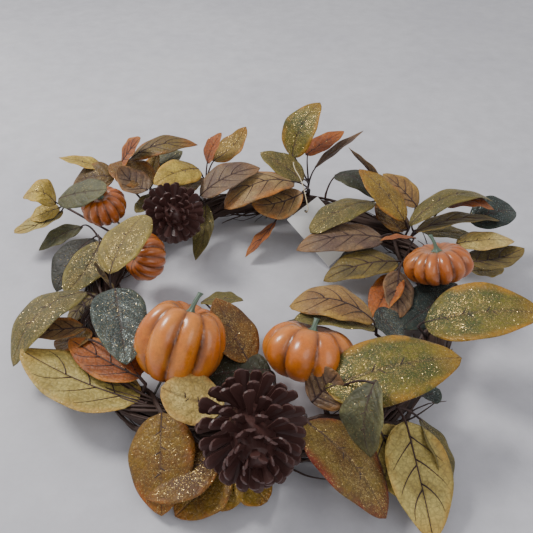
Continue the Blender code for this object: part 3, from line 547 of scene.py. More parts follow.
def cone_finish():
    """Dark plum-brown scales, paler and redder along their worn tips."""
    mat, tree, shader, place = new_material("cone_scale")
    tip, _, _ = split(tree, attribute(tree, "scale_marks"))
    paint, fleck = mottled(tree, place, tone(72, 42, 40), tone(44, 28, 28), 90.0)
    worn = tip * ramp(tree, noise_value(tree, place, 160.0), 0.34, 0.58, 0.45, 1.0) * 0.9
    set_shader(tree, shader, {"Base Color": blend_colours(tree, worn, paint, tone(166, 108, 84)),
                              "Roughness": ramp(tree, fleck, 0.3, 0.7, 0.42, 0.62),
                              "Normal": bump(tree, fleck, 0.0006, 0.8)})
    return mat


# first colour, second colour, roughness, patch scale, fleck scale, fleck depth, relief, metal, stretch
PLAIN_FINISHES = {
    "vine_bark": ((66, 42, 36), (44, 29, 27), 0.72, 120.0, 900.0, 0.5, 0.0011, 0.0, 1.0),
    "stalk_green": ((34, 54, 48), (54, 68, 46), 0.4, 150.0, 500.0, 0.3, 0.0005, 0.0, 1.0),
    "wire_steel": ((120, 116, 112), (88, 84, 80), 0.36, 200.0, 1500.0, 0.2, 0.0002, 0.9, 1.0),
    "floor_white": ((206, 206, 212), (200, 200, 207), 0.7, 3.0, 30.0, 0.03, 0.0, 0.0, 1.0),
    "card_white": ((236, 236, 233), (224, 224, 222), 0.72, 40.0, 1500.0, 0.05, 0.00012, 0.0, 1.0),
    "string_cream": ((214, 200, 160), (184, 166, 122), 0.8, 500.0, 2500.0, 0.35, 0.0004, 0.0, 0.4),
}


def plain_finish(name):
    """Two mottled colours with a matching relief, for bark, wire, card and the like."""
    first, second, rough, patch, grain, depth, relief, metal, stretch = PLAIN_FINISHES[name]
    mat, tree, shader, place = new_material(name)
    if stretch != 1.0:
        place = result(tree, "ShaderNodeMapping", {"Vector": place, "Scale": (1.0, 1.0, stretch)})
    paint, fleck = mottled(tree, place, tone(*first), tone(*second), patch, grain, depth)
    set_shader(tree, shader, {"Base Color": paint, "Metallic": metal,
                              "Roughness": ramp(tree, fleck, 0.3, 0.7, rough - 0.1, rough + 0.12),
                              "Normal": bump(tree, fleck, relief, 0.9)})
    return mat


SPECIAL_FINISHES = {"painted_leaf": painted_leaf, "glitter_flake": glitter_flake,
                    "pumpkin_paint": pumpkin_paint, "cone_scale": cone_finish}


def finish_of(name):
    """A finish by its name, made the first time that it is asked for."""
    made = bpy.data.materials.get(name)
    if made:
        return made
    return SPECIAL_FINISHES[name]() if name in SPECIAL_FINISHES else plain_finish(name)


def dress(obj, *names):
    obj.data.materials.clear()
    for name in names:
        obj.data.materials.append(finish_of(name))


def place_piece(obj, node, replaced=True):
    """Ties a finished piece to the body and the node that it stands for."""
    for face in obj.data.polygons if isinstance(obj.data, bpy.types.Mesh) else ():
        face.use_smooth = True
    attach(obj, body_of_node(node))
    if replaced:
        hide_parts(node)


def object_from(bm, name):
    mesh = bpy.data.meshes.new(name)
    bm.to_mesh(mesh)
    bm.free()
    obj = bpy.data.objects.new(name, mesh)
    bpy.context.scene.collection.objects.link(obj)
    return obj


# ---- leaves --------------------------------------------------------------------------------------------
def leaf_axes(foot, tip, roll):
    """Along the leaf, across it, and up from its face, with roll degrees of turn about its length."""
    along = (tip - foot).normalized()
    side = along.cross(Vector((0, 0, 1)))
    if side.length < 0.05:
        side = Vector((1, 0, 0))
    side.normalize()
    normal = side.cross(along)
    turn = Matrix.Rotation(math.radians(roll), 3, along)
    return along, turn @ side, turn @ normal


class LeafShape:
    """A leaf's surface: s runs from foot to tip, t from -1 to 1 across it."""

    def __init__(self, leaf, seed):
        foot, tip, self.width, roll, self.arch, self.cup, outline, _ = leaf
        self.foot, self.tip = vec(foot), vec(tip)
        self.along, self.side, self.normal = leaf_axes(self.foot, self.tip, roll)
        self.peak, self.full = OUTLINES[outline]
        dice = random.Random(seed)
        self.ripple = dice.uniform(0.6, 1.0)
        self.phase = dice.uniform(0.0, 6.28)
        self.curl = dice.uniform(-1.0, 1.0)

    def half(self, s):
        """Half the leaf's width, in millimetres, at a share of its length."""
        spread = math.sin(math.pi * min(1.0, max(0.0, s)) ** (math.log(0.5) / math.log(self.peak)))
        return max(self.width * 0.5 * max(0.0, spread) ** self.full, 1.1 - 0.7 * s)

    def at(self, s, t):
        """The place of a point of the leaf, with its arch, cup, rippled edge, gutter and curled tip."""
        half = self.half(s)
        reach = t * half
        edge = abs(t) ** 2
        wave = self.ripple * edge * math.sin(s * 17.0 + self.phase + (2.0 if t > 0 else 0.0))
        wave *= min(1.0, half / 12.0)
        gutter = 0.9 * math.exp(-(t / 0.10) ** 2) * math.sin(math.pi * min(s, 0.98))
        lift = self.arch * 4.0 * s * (1.0 - s) + self.cup * 2.0 * reach * reach / self.width
        lift += wave - gutter
        lift += self.curl * 17.6 * max(0.0, s - 0.75) ** 2
        return self.foot.lerp(self.tip, s) + (self.side * reach + self.normal * lift) * MM

    def up(self, s, t):
        """The direction in which the leaf's upper side faces."""
        a = self.at(min(s + 0.01, 1.0), t) - self.at(max(s - 0.01, 0.0), t)
        b = self.at(s, min(t + 0.05, 1.0)) - self.at(s, max(t - 0.05, -1.0))
        facing = b.cross(a)
        return facing.normalized() if facing.length > 1e-12 else self.normal


def rim_of(rows):
    """A leaf side's outermost vertices, once round."""
    return ([row[0] for row in rows] + rows[-1][1:] + [row[-1] for row in rows[-2::-1]]
            + rows[0][-2:0:-1])


class LeafMaker:
    """Collects leaves, stems and ribs in one mesh with their tints."""

    def __init__(self):
        self.bm = bmesh.new()
        self.uv = self.bm.loops.layers.uv.new("leaf")
        self.tints = [self.bm.verts.layers.float_color.new(label)
                      for label in ("first_tint", "second_tint", "edge_tint", "marks")]

    def vert(self, place, tints):
        made = self.bm.verts.new(place)
        for layer, value in zip(self.tints, tints):
            made[layer] = value
        return made

    def face(self, corners, spots=None):
        made = self.bm.faces.new(corners)
        made.smooth = True
        for loop, spot in zip(made.loops, spots or [(0.5, 0.5)] * len(corners)):
            loop[self.uv].uv = spot

    def rod(self, points, radii, tints, sides=6):
        """A round stem along points, closed at both ends."""
        rings = []
        reference = Vector((0.31, 0.17, 0.93))
        for i, point in enumerate(points):
            ahead = (points[min(i + 1, len(points) - 1)] - points[max(i - 1, 0)]).normalized()
            first = ahead.cross(reference)
            first = (first if first.length > 0.1 else ahead.cross(Vector((1, 0, 0)))).normalized()
            second = ahead.cross(first)
            rings.append([self.vert(point + (first * math.cos(a) + second * math.sin(a)) * radii[i], tints)
                          for a in (2 * math.pi * k / sides for k in range(sides))])
        for lower, upper in zip(rings, rings[1:]):
            for k in range(sides):
                self.face((lower[k], lower[(k + 1) % sides], upper[(k + 1) % sides], upper[k]))
        self.face(rings[0][::-1])
        self.face(rings[-1])

    def blade(self, leaf, seed, lengthwise=24, crosswise=12):
        """A leaf's upper and under sides, closed round its edge, with its ribs."""
        shape = LeafShape(leaf, seed)
        first, second, edge, glitter, ribbed = LOOKS[leaf[7]]
        thick = settings().leaf_thickness * 0.5
        faces = []
        for sign in (1, -1):
            shows_ribs = ribbed if sign > 0 else 1.0 - ribbed
            if sign > 0:
                paints = (tone(*first), tone(*second), tone(*edge))
            elif shows_ribs:
                paints = (tone(134, 108, 76), tone(112, 86, 66), tone(150, 118, 76))
            else:
                paints = (tone(140, 122, 56), tone(112, 100, 46), tone(170, 122, 48))
            sparkle = glitter if sign > 0 else (0.0 if shows_ribs else 0.5)
            tints = paints + ((sparkle, shows_ribs, 1.0, 1.0 if leaf[7] in SILVERED else 0.0),)
            rows = []
            for i in range(lengthwise + 1):
                s = i / lengthwise
                rows.append([])
                for j in range(crosswise + 1):
                    t = 2.0 * j / crosswise - 1.0
                    t = math.copysign(abs(t) ** 0.9, t)
                    slim = 0.35 + 0.65 * (1.0 - abs(t) ** 4)
                    rows[-1].append(self.vert(shape.at(s, t) + shape.up(s, t) * sign * thick * slim, tints))
            faces.append(rows)
            for i in range(lengthwise):
                for j in range(crosswise):
                    corners = (rows[i][j], rows[i][j + 1], rows[i + 1][j + 1], rows[i + 1][j])
                    spots = [(k / crosswise, m / lengthwise) for m, k in
                             ((i, j), (i, j + 1), (i + 1, j + 1), (i + 1, j))]
                    if sign < 0:
                        corners, spots = corners[::-1], spots[::-1]
                    self.face(corners, spots)
        around_top, around_under = [rim_of(rows) for rows in faces]
        count = len(around_top)
        for k in range(count):
            n = (k + 1) % count
            self.face((around_top[k], around_top[n], around_under[n], around_under[k]), [(0.0, 0.5)] * 4)
        self.ribs(shape, 1 if ribbed else -1)

    def ribs(self, shape, sign):
        """The raised midrib and side ribs on the underside."""
        tints = (tone(74, 46, 42), tone(58, 36, 34), tone(80, 52, 44), (0.0, 0.0, 0.0, 1.0))
        low = settings().leaf_thickness * 0.5
        route = [i / 14 * 0.94 for i in range(15)]
        self.rod([shape.at(s, 0.0) + shape.up(s, 0.0) * sign * low for s in route],
                 [(1.0 - 0.72 * s) * 0.95 * MM for s in route], tints)
        count = 3 if shape.width > 30 else 2
        for number in range(count):
            start = 0.14 + 0.62 * number / count
            for hand in (-1, 1):
                s0 = start + (0.05 if hand > 0 else 0.0)
                steps = [k / 6 for k in range(7)]
                points = []
                for u in steps:
                    s, t = min(s0 + 0.24 * u ** 1.2, 0.97), hand * 0.80 * u
                    points.append(shape.at(s, t) + shape.up(s, t) * sign * low * 0.9)
                self.rod(points, [(0.80 - 0.60 * u) * MM for u in steps], tints, sides=5)

    def stems(self, name, fork, leaves):
        """The trunk from the vine to the fork, and a bent stem from there to each leaf."""
        tints = (tone(76, 50, 44), tone(54, 36, 34), tone(76, 50, 44), (0.0, 0.0, 0.0, 1.0))
        root = vec(fork)
        middle, _ = ring_frame(math.atan2(fork[1], fork[0]))
        start = middle + (root - middle).normalized() * TRUNK_FOOT * MM
        self.rod([start, start.lerp(root, 0.5), root, root + (root - start).normalized() * 1.5 * MM],
                 [TRUNK_RADIUS * MM, TRUNK_RADIUS * MM, TRUNK_RADIUS * 1.15 * MM, 0.9 * MM], tints, sides=8)
        steps = 8
        for number, leaf in enumerate(leaves):
            foot = vec(leaf[0])
            bend = root.lerp(foot, 0.55) + Vector((0, 0, 0.12 * (foot - root).length))
            inner = LeafShape(leaf, "%s_%d" % (name, number)).at(0.05, 0.0)
            pull = bend * 2 - (root + inner) * 0.5
            points, radii = [], []
            for k in range(steps + 1):
                u = k / steps
                points.append(root * (1 - u) ** 2 + pull * 2 * u * (1 - u) + inner * u * u)
                radii.append((1.15 - 0.35 * u) * STEM_RADIUS * MM * (1.25 if k in (0, steps) else 1.0))
            self.rod(points, radii, tints)


def dressed(tree, geometry, material):
    """Copies made real, with their finish."""
    real = result(tree, "GeometryNodeRealizeInstances", {0: geometry})
    return result(tree, "GeometryNodeSetMaterial", {"Geometry": real, "Material": material})


def joined(tree, *pieces):
    join = tree.nodes.new("GeometryNodeJoinGeometry")
    for piece in pieces:
        plug(tree, join.inputs[0], piece)
    return Socket(tree, join.outputs[0])


def random_number(tree, low, high, **others):
    return result(tree, "FunctionNodeRandomValue", {2: low, 3: high, **others}, output=1, data_type="FLOAT")


def flake_tree():
    """Scatters small tilted flakes on the glittered sides of the leaves it is given."""
    if "leaf_glitter" in bpy.data.node_groups:
        return bpy.data.node_groups["leaf_glitter"]
    tree, given, out = group("leaf_glitter", {
        "Leaves": ("Geometry", None), "Density": ("Float", 120000.0), "Flake Size": ("Float", 0.0006),
        "Seed": ("Int", 4), "Flake Finish": ("Material", None),
    }, {"Geometry": "Geometry"}, "GeometryNodeTree")
    marks = result(tree, "GeometryNodeInputNamedAttribute", {"Name": "marks"}, data_type="FLOAT_COLOR")
    sparkle = split(tree, marks, "FunctionNodeSeparateColor")[0]
    cloud = result(tree, "ShaderNodeTexNoise", {"Scale": 60.0, "Detail": 2.0})
    drift = ramp(tree, cloud, 0.38, 0.62, 0.15, 1.0, "LINEAR")
    scatter = add(tree, "GeometryNodeDistributePointsOnFaces", {
        "Mesh": given["Leaves"], "Seed": given["Seed"], "Density": sparkle ** 2.0 * drift * given["Density"]})
    disc = result(tree, "GeometryNodeMeshCircle", {"Vertices": 5, "Radius": given["Flake Size"]},
                  fill_type="NGON")
    lean = result(tree, "FunctionNodeRandomValue", {0: (-0.55, -0.55, -3.1), 1: (0.55, 0.55, 3.1), "Seed": 7},
                  data_type="FLOAT_VECTOR")
    leant = result(tree, "FunctionNodeEulerToRotation", {0: lean})
    turned = result(tree, "FunctionNodeRotateRotation", {0: scatter.outputs["Rotation"], 1: leant},
                    rotation_space="LOCAL")
    rise = result(tree, "ShaderNodeVectorMath", {0: scatter.outputs["Normal"], "Scale": 0.25 * MM},
                  operation="SCALE")
    lifted = result(tree, "GeometryNodeSetPosition", {"Geometry": scatter.outputs["Points"], "Offset": rise})
    copies = result(tree, "GeometryNodeInstanceOnPoints", {
        "Points": lifted, "Instance": disc, "Rotation": turned,
        "Scale": random_number(tree, 0.55, 1.25, Seed=9)})
    flakes = dressed(tree, copies, given["Flake Finish"])
    plug(tree, out.inputs[0], joined(tree, flakes, given["Leaves"]))
    return tree


def apply_tree(obj, tree, values):
    """Runs a node tree on an object with named inputs and keeps the result as its plain mesh."""
    modifier = obj.modifiers.new(tree.name, "NODES")
    modifier.node_group = tree
    for item in tree.interface.items_tree:
        if item.item_type == "SOCKET" and item.in_out == "INPUT" and item.name in values:
            modifier[item.identifier] = values[item.name]
    graph = bpy.context.evaluated_depsgraph_get()
    mesh = bpy.data.meshes.new_from_object(obj.evaluated_get(graph), depsgraph=graph)
    old = obj.data
    obj.modifiers.clear()
    obj.data = mesh
    bpy.data.meshes.remove(old)
    mesh.name = obj.name


def make_sprig(name):
    """One sprig: its leaves, stems and trunk, with glitter flakes where its paint has them."""
    fork, leaves = SPRIGS[name]
    maker = LeafMaker()
    for number, leaf in enumerate(leaves):
        maker.blade(leaf, "%s_%d" % (name, number))
    maker.stems(name, fork, leaves)
    obj = object_from(maker.bm, name.replace("sprig", "leaves"))
    dress(obj, "painted_leaf")
    if any(LOOKS[leaf[7]][3] > 0.25 for leaf in leaves):
        apply_tree(obj, flake_tree(), {"Density": settings().glitter_density * 10000.0,
                                       "Flake Size": settings().flake_size, "Seed": len(name),
                                       "Flake Finish": finish_of("glitter_flake")})
    place_piece(obj, name)


# ---- pumpkins ------------------------------------------------------------------------------------------
def make_pumpkin(name):
    """A ribbed shell with a dimple at its crown and foot, each rib a little fuller or leaner."""
    centre, direction, tilt, radius, half, ribs, _ = PUMPKINS[name]
    dice = random.Random(name)
    swell = [dice.uniform(-0.05, 0.04) for _ in range(ribs)]
    ruddy = 1.0 if "mini" in name else 0.0
    bm = bmesh.new()
    marks = bm.verts.layers.float_color.new("shell_marks")
    bmesh.ops.create_uvsphere(bm, u_segments=ribs * 12 if ribs < 10 else ribs * 8, v_segments=44, radius=1.0)
    for vert in bm.verts:
        angle = math.atan2(vert.co.y, vert.co.x)
        flat = math.hypot(vert.co.x, vert.co.y)
        turn = (ribs * angle / (2.0 * math.pi)) % ribs
        groove = 1.0 - abs(math.sin(ribs * angle / 2.0)) ** 0.7
        here = swell[int(turn) % ribs]
        depth = settings().rib_depth * (1.0 if flat > 0.35 else flat / 0.35)
        reach = (flat ** 0.85) * (1.0 - depth * groove * flat ** 0.5 + here * flat)
        dimple = 1.0 - 0.30 * math.exp(-(flat / 0.33) ** 2)
        up = half * vert.co.z * dimple * (1.0 - 0.05 * groove * flat)
        pole = Vector((math.cos(angle), math.sin(angle), vert.co.z)) * 2.2
        bumpy = 1.0 + 0.016 * noise.noise(pole + Vector((radius, half, 0.0)))
        crown = math.exp(-(flat / 0.42) ** 2) if vert.co.z > 0 else 0.0
        foot = math.exp(-(flat / 0.34) ** 2) if vert.co.z < 0 else 0.0
        vert[marks] = (min(1.0, groove ** 1.3 * min(1.0, flat * 3)), crown, foot, ruddy)
        side = reach * radius
        vert.co = Vector((math.cos(angle) * side, math.sin(angle) * side, up)) * MM * bumpy
    bmesh.ops.recalc_face_normals(bm, faces=bm.faces)
    obj = object_from(bm, name.replace("pumpkin", "shell"))
    obj.data.transform(axis_matrix(centre, direction, tilt))
    dress(obj, "pumpkin_paint")
    place_piece(obj, name)


def make_stalk(name):
    """A fluted stalk with a flared foot and a slanting cut end."""
    centre, direction, tilt, radius, half, _, length = PUMPKINS[name]
    base = half * 0.70 + 0.2
    wide = radius * 0.115
    levels = 16
    round_steps = 30
    bm = bmesh.new()
    rings = []
    for i in range(levels + 1):
        u = i / levels
        flare = 0.36 + 1.15 * math.exp(-u * 8.0) + 0.05 * u + 0.12 * math.exp(-((u - 1.0) / 0.12) ** 2)
        bend = 0.42 * length * u ** 2
        ring = []
        for k in range(round_steps):
            angle = 2.0 * math.pi * k / round_steps + 0.9 * u
            flute = 1.0 + 0.13 * math.cos(5.0 * (angle - 0.9 * u)) * (1.0 + math.exp(-u * 8.0))
            reach = wide * flare * flute
            ring.append(bm.verts.new(Vector((bend + math.cos(angle) * reach, math.sin(angle) * reach,
                                             base + length * u - 0.12 * math.cos(angle) * reach * u)) * MM))
        rings.append(ring)
    for lower, upper in zip(rings, rings[1:]):
        for k in range(round_steps):
            n = (k + 1) % round_steps
            bm.faces.new((lower[k], lower[n], upper[n], upper[k]))
    bm.faces.new(rings[0][::-1])
    end = sum((v.co for v in rings[-1]), Vector()) / round_steps - Vector((0, 0, 0.6 * MM))
    middle = bm.verts.new(end)
    for k in range(round_steps):
        bm.faces.new((rings[-1][k], rings[-1][(k + 1) % round_steps], middle))
    obj = object_from(bm, name.replace("pumpkin", "stem"))
    obj.data.transform(axis_matrix(centre, direction, tilt))
    dress(obj, "stalk_green")
    place_piece(obj, name.replace("pumpkin", "stalk"))


# ---- cones ---------------------------------------------------------------------------------------------
def scale_object():
    """One woody scale: narrow at its foot, broad and thick at its rounded tip; unit length along +X."""
    bm = bmesh.new()
    marks = bm.verts.layers.float_color.new("scale_marks")
    outline = ((0.0, 0.14), (0.45, 0.26), (0.70, 0.40), (0.86, 0.47), (0.97, 0.36), (1.01, 0.14))
    rows = []
    for x, half in outline:
        worn = max(0.0, (x - 0.84) / 0.16)
        lift = 0.16 * x * x
        thick = 0.07 + 0.16 * max(0.0, x - 0.55)
        row = []
        for side in (-1.0, 0.0, 1.0):
            for level in (1.0, -1.0):
                z = lift + level * thick * (1.0 if side == 0.0 else 0.55) - 0.10 * abs(side) * half
                vert = bm.verts.new((x, side * max(half, 0.03), z))
                vert[marks] = (worn * (1.0 if level > 0 else 0.55), 0.0, 0.0, 1.0)
                row.append(vert)
        rows.append(row)
    for a, b in zip(rows, rows[1:]):
        for top in ((0, 2), (2, 4)):
            bm.faces.new((a[top[0]], b[top[0]], b[top[1]], a[top[1]]))
            bm.faces.new((a[top[1] + 1], b[top[1] + 1], b[top[0] + 1], a[top[0] + 1]))
        bm.faces.new((a[1], b[1], b[0], a[0]))
        bm.faces.new((a[4], b[4], b[5], a[5]))
    for row, flip in ((rows[0], False), (rows[-1], True)):
        ring = [row[0], row[2], row[4], row[5], row[3], row[1]]
        bm.faces.new(ring[::-1] if flip else ring)
    bmesh.ops.recalc_face_normals(bm, faces=bm.faces)
    return object_from(bm, "cone_scale_shape")


def cone_tree():
    """Scales set in a spiral up a cone, opening outwards below and closing at the tip."""
    tree, given, out = group("cone_scales", {
        "Core": ("Geometry", None), "Scales": ("Int", 90), "Radius": ("Float", 0.04),
        "Half Length": ("Float", 0.04), "Scale Shape": ("Object", None), "Seed": ("Int", 3),
        "Finish": ("Material", None),
    }, {"Geometry": "Geometry"}, "GeometryNodeTree")
    radius, half = given["Radius"], given["Half Length"]
    index = result(tree, "GeometryNodeInputIndex")
    angle = index * GOLDEN_ANGLE
    rise = (index + 0.5) / given["Scales"] * 1.86 - 0.98
    girth = maths(tree, "SQRT", 1.0 - rise * rise, clamp=True)
    reach = girth * (1.0 - rise * 0.16) * radius
    core = reach * 0.30
    place = result(tree, "ShaderNodeCombineXYZ", {0: maths(tree, "COSINE", angle) * core,
                                                  1: maths(tree, "SINE", angle) * core,
                                                  2: rise * half - half * 0.12})
    jitter = random_number(tree, -0.30, 0.20, Seed=given["Seed"])
    tilt = (rise * 0.5 + 0.5) ** 1.8 * -1.30
    pose = result(tree, "ShaderNodeCombineXYZ", {0: jitter, 1: tilt + jitter, 2: angle})
    long = maths(tree, "MAXIMUM", reach * 0.76, radius * 0.42)
    broad = (long / radius) ** 0.5 * (radius * 0.29)
    size = result(tree, "ShaderNodeCombineXYZ", {0: long, 1: broad, 2: broad})
    points = result(tree, "GeometryNodePoints", {"Count": given["Scales"], "Position": place})
    shape = result(tree, "GeometryNodeObjectInfo", {0: given["Scale Shape"]}, output="Geometry")
    copies = result(tree, "GeometryNodeInstanceOnPoints", {"Points": points, "Instance": shape,
                                                           "Rotation": pose, "Scale": size})
    plug(tree, out.inputs[0], dressed(tree, joined(tree, given["Core"], copies), given["Finish"]))
    return tree


def make_cone(name, tree, shape):
    """A cone's core with its scales set round it."""
    centre, direction, tilt, radius, half, scales = CONES[name]
    bm = bmesh.new()
    bmesh.ops.create_uvsphere(bm, u_segments=24, v_segments=18, radius=1.0)
    for vert in bm.verts:
        vert.co = Vector((vert.co.x * radius * 0.42, vert.co.y * radius * 0.42, vert.co.z * half * 0.92)) * MM
    obj = object_from(bm, name.replace("cone", "scales"))
    apply_tree(obj, tree, {"Scales": scales, "Radius": radius * MM, "Half Length": half * MM,
                           "Scale Shape": shape, "Seed": scales, "Finish": finish_of("cone_scale")})
    obj.data.transform(axis_matrix(centre, direction, tilt))
    place_piece(obj, name)
    for face in obj.data.polygons:
        face.use_smooth = False


# ---- vine ----------------------------------------------------------------------------------------------
def twig_tree():
    """Thin twigs that wind round the ring's bundle, each with its own start, reach and twist."""
    tree, given, out = group("vine_twigs", {
        "Start": ("Geometry", None), "Twigs": ("Int", 60), "Least Orbit": ("Float", 0.010),
        "Most Orbit": ("Float", 0.018), "Flare": ("Float", 0.0), "Shortest": ("Float", 0.8),
        "Longest": ("Float", 2.4), "Twig Radius": ("Float", 0.0013), "Seed": ("Int", 5),
        "Finish": ("Material", None),
    }, {"Geometry": "Geometry"}, "GeometryNodeTree")
    points = result(tree, "GeometryNodePoints", {"Count": given["Twigs"]})
    index = result(tree, "GeometryNodeInputIndex")
    named = result(tree, "GeometryNodeStoreNamedAttribute",
                   {"Geometry": points, "Name": "twig", "Value": index}, data_type="FLOAT", domain="POINT")
    line = result(tree, "GeometryNodeCurvePrimitiveLine", {"Start": (0, 0, 0), "End": (1, 0, 0)})
    fine = result(tree, "GeometryNodeResampleCurve", {"Curve": line, "Count": 44})
    copies = result(tree, "GeometryNodeInstanceOnPoints", {"Points": named, "Instance": fine})
    real = result(tree, "GeometryNodeRealizeInstances", {0: copies})
    number = result(tree, "GeometryNodeInputNamedAttribute", {"Name": "twig"}, data_type="FLOAT")
    twig = maths(tree, "ROUND", number)
    along = result(tree, "GeometryNodeSplineParameter", output="Factor")

    def dice(low, high, step):
        return random_number(tree, low, high, ID=twig, Seed=given["Seed"] + step)

    clock = dice(0.0, 6.2832, 0) + dice(given["Shortest"], given["Longest"], 1) * along
    flare = along ** 3.0 * (given["Flare"] * dice(0.2, 1.0, 3))
    wobble = result(tree, "ShaderNodeCombineXYZ", {0: clock * 6.0, 1: twig * 7.3})
    push = result(tree, "ShaderNodeTexNoise", {"Vector": wobble, "Scale": 1.0, "Detail": 2.0}) - 0.5
    orbit = dice(given["Least Orbit"], given["Most Orbit"], 2) + flare + push * 0.006
    spin = clock * dice(2.0, 6.5, 4) + dice(0.0, 6.2832, 5)
    sways = [maths(tree, "SINE", clock * turns + start) * (size * MM) for size, turns, start in SWAYS]
    radius = sways[0] + sways[1] + RING_RADIUS * MM + maths(tree, "COSINE", spin) * orbit
    height = maths(tree, "SINE", spin) * orbit + RING_HEIGHT * MM
    place = result(tree, "ShaderNodeCombineXYZ", {
        0: maths(tree, "COSINE", clock) * radius + RING_MIDDLE.x * MM,
        1: maths(tree, "SINE", clock) * radius + RING_MIDDLE.y * MM,
        2: maths(tree, "MAXIMUM", height, 2.0 * MM)})
    laid = result(tree, "GeometryNodeSetPosition", {"Geometry": real, "Position": place})
    thin = given["Twig Radius"] * (dice(0.6, 1.5, 6) * (1.0 - along ** 3.0 * 0.55))
    ring = result(tree, "GeometryNodeCurvePrimitiveCircle", {"Resolution": 6, "Radius": 1.0})
    solid = result(tree, "GeometryNodeCurveToMesh", {"Curve": laid, "Profile Curve": ring, "Scale": thin,
                                                     "Fill Caps": True})
    plug(tree, out.inputs[0], dressed(tree, solid, given["Finish"]))
    return tree


def make_twigs(name, tree, values):
    """One set of thin twigs round the bundle."""
    obj = object_from(bmesh.new(), name)
    apply_tree(obj, tree, dict(values, Finish=finish_of("vine_bark")))
    place_piece(obj, "vine_strand_1", replaced=False)


# ---- tag -----------------------------------------------------------------------------------------------
def tag_route():
    """The string's points, from the sprig's stems down to the card's hole."""
    across = Vector((math.cos(math.radians(52)), math.sin(math.radians(52)), 0.0))
    level = Vector((math.cos(math.radians(-38)), math.sin(math.radians(-38)), 0.0))
    down = level * math.cos(math.radians(33)) - Vector((0, 0, 1)) * math.sin(math.radians(33))
    normal = across.cross(down)
    normal = -normal if normal.z < 0.0 else normal
    hole = TAG_MIDDLE - down * TAG_HOLE_DROP
    knots = [hole - normal * 5, hole, hole + normal * 6] + [Vector(p) for p in TAG_ROUTE]
    points = []
    for i in range(len(knots) - 1):
        before, after = knots[max(i - 1, 0)], knots[min(i + 2, len(knots) - 1)]
        steps = 2 if i < 2 else 8
        for k in range(steps):
            u = k / steps
            a, b = knots[i], knots[i + 1]
            points.append(0.5 * ((2 * a) + (b - before) * u + (2 * before - 5 * a + 4 * b - after) * u * u
                                 + (3 * a - before - 3 * b + after) * u ** 3))
    points.append(knots[-1])
    return [vec(p) for p in reversed(points)]


def make_tag_string():
    """The limp string, from its knot on the stems down through the card's hole."""
    points = tag_route()
    data = bpy.data.curves.new("string", "CURVE")
    data.dimensions = "3D"
    data.bevel_depth = STRING_DIAMETER * 0.5 * MM
    data.bevel_resolution = 2
    data.use_fill_caps = True
    spline = data.splines.new("POLY")
    spline.points.add(len(points) - 1)
    for spot, point in zip(spline.points, points):
        spot.co = tuple(point) + (1.0,)
    obj = bpy.data.objects.new("string", data)
    bpy.context.scene.collection.objects.link(obj)
    obj.data.materials.append(finish_of("string_cream"))
    place_piece(obj, "tag_string")


# ---- stage ---------------------------------------------------------------------------------------------
def area_light(name, place, size, watts, colour):
    """A round soft light aimed at the wreath's middle."""
    data = bpy.data.lights.new(name, "AREA")
    data.shape = "DISK"
    data.size = size
    data.energy = watts
    data.color = colour
    obj = bpy.data.objects.new(name, data)
    bpy.context.scene.collection.objects.link(obj)
    obj.location = place
    obj.rotation_euler = (Vector((0, 0, 0.03)) - obj.location).to_track_quat("-Z", "Y").to_euler()


def make_stage():
    """A plain floor, a window's and a room's light, soft surroundings and the view."""
    bm = bmesh.new()
    bmesh.ops.create_grid(bm, x_segments=1, y_segments=1, size=3.0)
    floor = object_from(bm, "floor")
    floor.location.z = -0.0004
    dress(floor, "floor_white")
    area_light("window", (-1.1, 0.5, 1.5), 0.6, 24.0, (1.0, 0.98, 0.95))
    area_light("room", (0.9, -1.2, 1.6), 1.6, 8.0, (0.98, 0.98, 1.0))
    world = bpy.data.worlds.new("soft_room")
    bpy.context.scene.world = world
    world.use_nodes = True
    sky = world.node_tree.nodes["Background"]
    sky.inputs["Color"].default_value = (0.90, 0.89, 0.90, 1.0)
    sky.inputs["Strength"].default_value = 0.62
    camera = bpy.data.objects.new("camera", bpy.data.cameras.new("camera"))
    bpy.context.scene.collection.objects.link(camera)
    camera.data.angle = math.radians(50.0)
    camera.location = vec((0.0, -460.8, 445.4))
    camera.rotation_euler = (math.radians(90.0 - 39.64), 0.0, 0.0)
    camera.data.clip_start = 0.01
    bpy.context.scene.camera = camera


# ---- sizes and operators --------------------------------------------------------------------------------
class WreathSettings(bpy.types.PropertyGroup):
    """Sizes and colours that a user may change before building."""

    leaf_thickness: FloatProperty(name="Leaf thickness", description="Thickness of the painted cloth",
                                  default=0.0006, min=0.0002, max=0.002, unit="LENGTH")
    glitter_density: FloatProperty(name="Glitter", default=44.0, min=0.0, max=80.0,
                                   description="Flakes on a square centimetre of a glittered leaf")
    flake_size: FloatProperty(name="Flake size", description="Radius of one glitter flake", default=0.00027,
                              min=0.0002, max=0.002, unit="LENGTH")
    rib_depth: FloatProperty(name="Rib depth", default=0.17, min=0.02, max=0.25, subtype="FACTOR",
                             description="Depth of a pumpkin's grooves, as a share of its radius")
    twigs: IntProperty(name="Twigs", description="Thin twigs laid round the ring", default=84, min=0, max=200)
    twig_radius: FloatProperty(name="Twig radius", description="Radius of a thin twig", default=0.0012,
                               min=0.0004, max=0.003, unit="LENGTH")
    shell_colour: FloatVectorProperty(name="Shell colour", description="Main colour of the pumpkins", size=3,
                                      default=tone(214, 116, 34)[:3], min=0.0, max=1.0, subtype="COLOR")


class WREATH_OT_stage(bpy.types.Operator):
    """Add the pale floor, the soft lights and the camera"""

    bl_idname = "wreath.stage"
    bl_label = "Stage"
    bl_options = {"REGISTER", "UNDO"}

    def execute(self, context):
        make_stage()
        return {"FINISHED"}


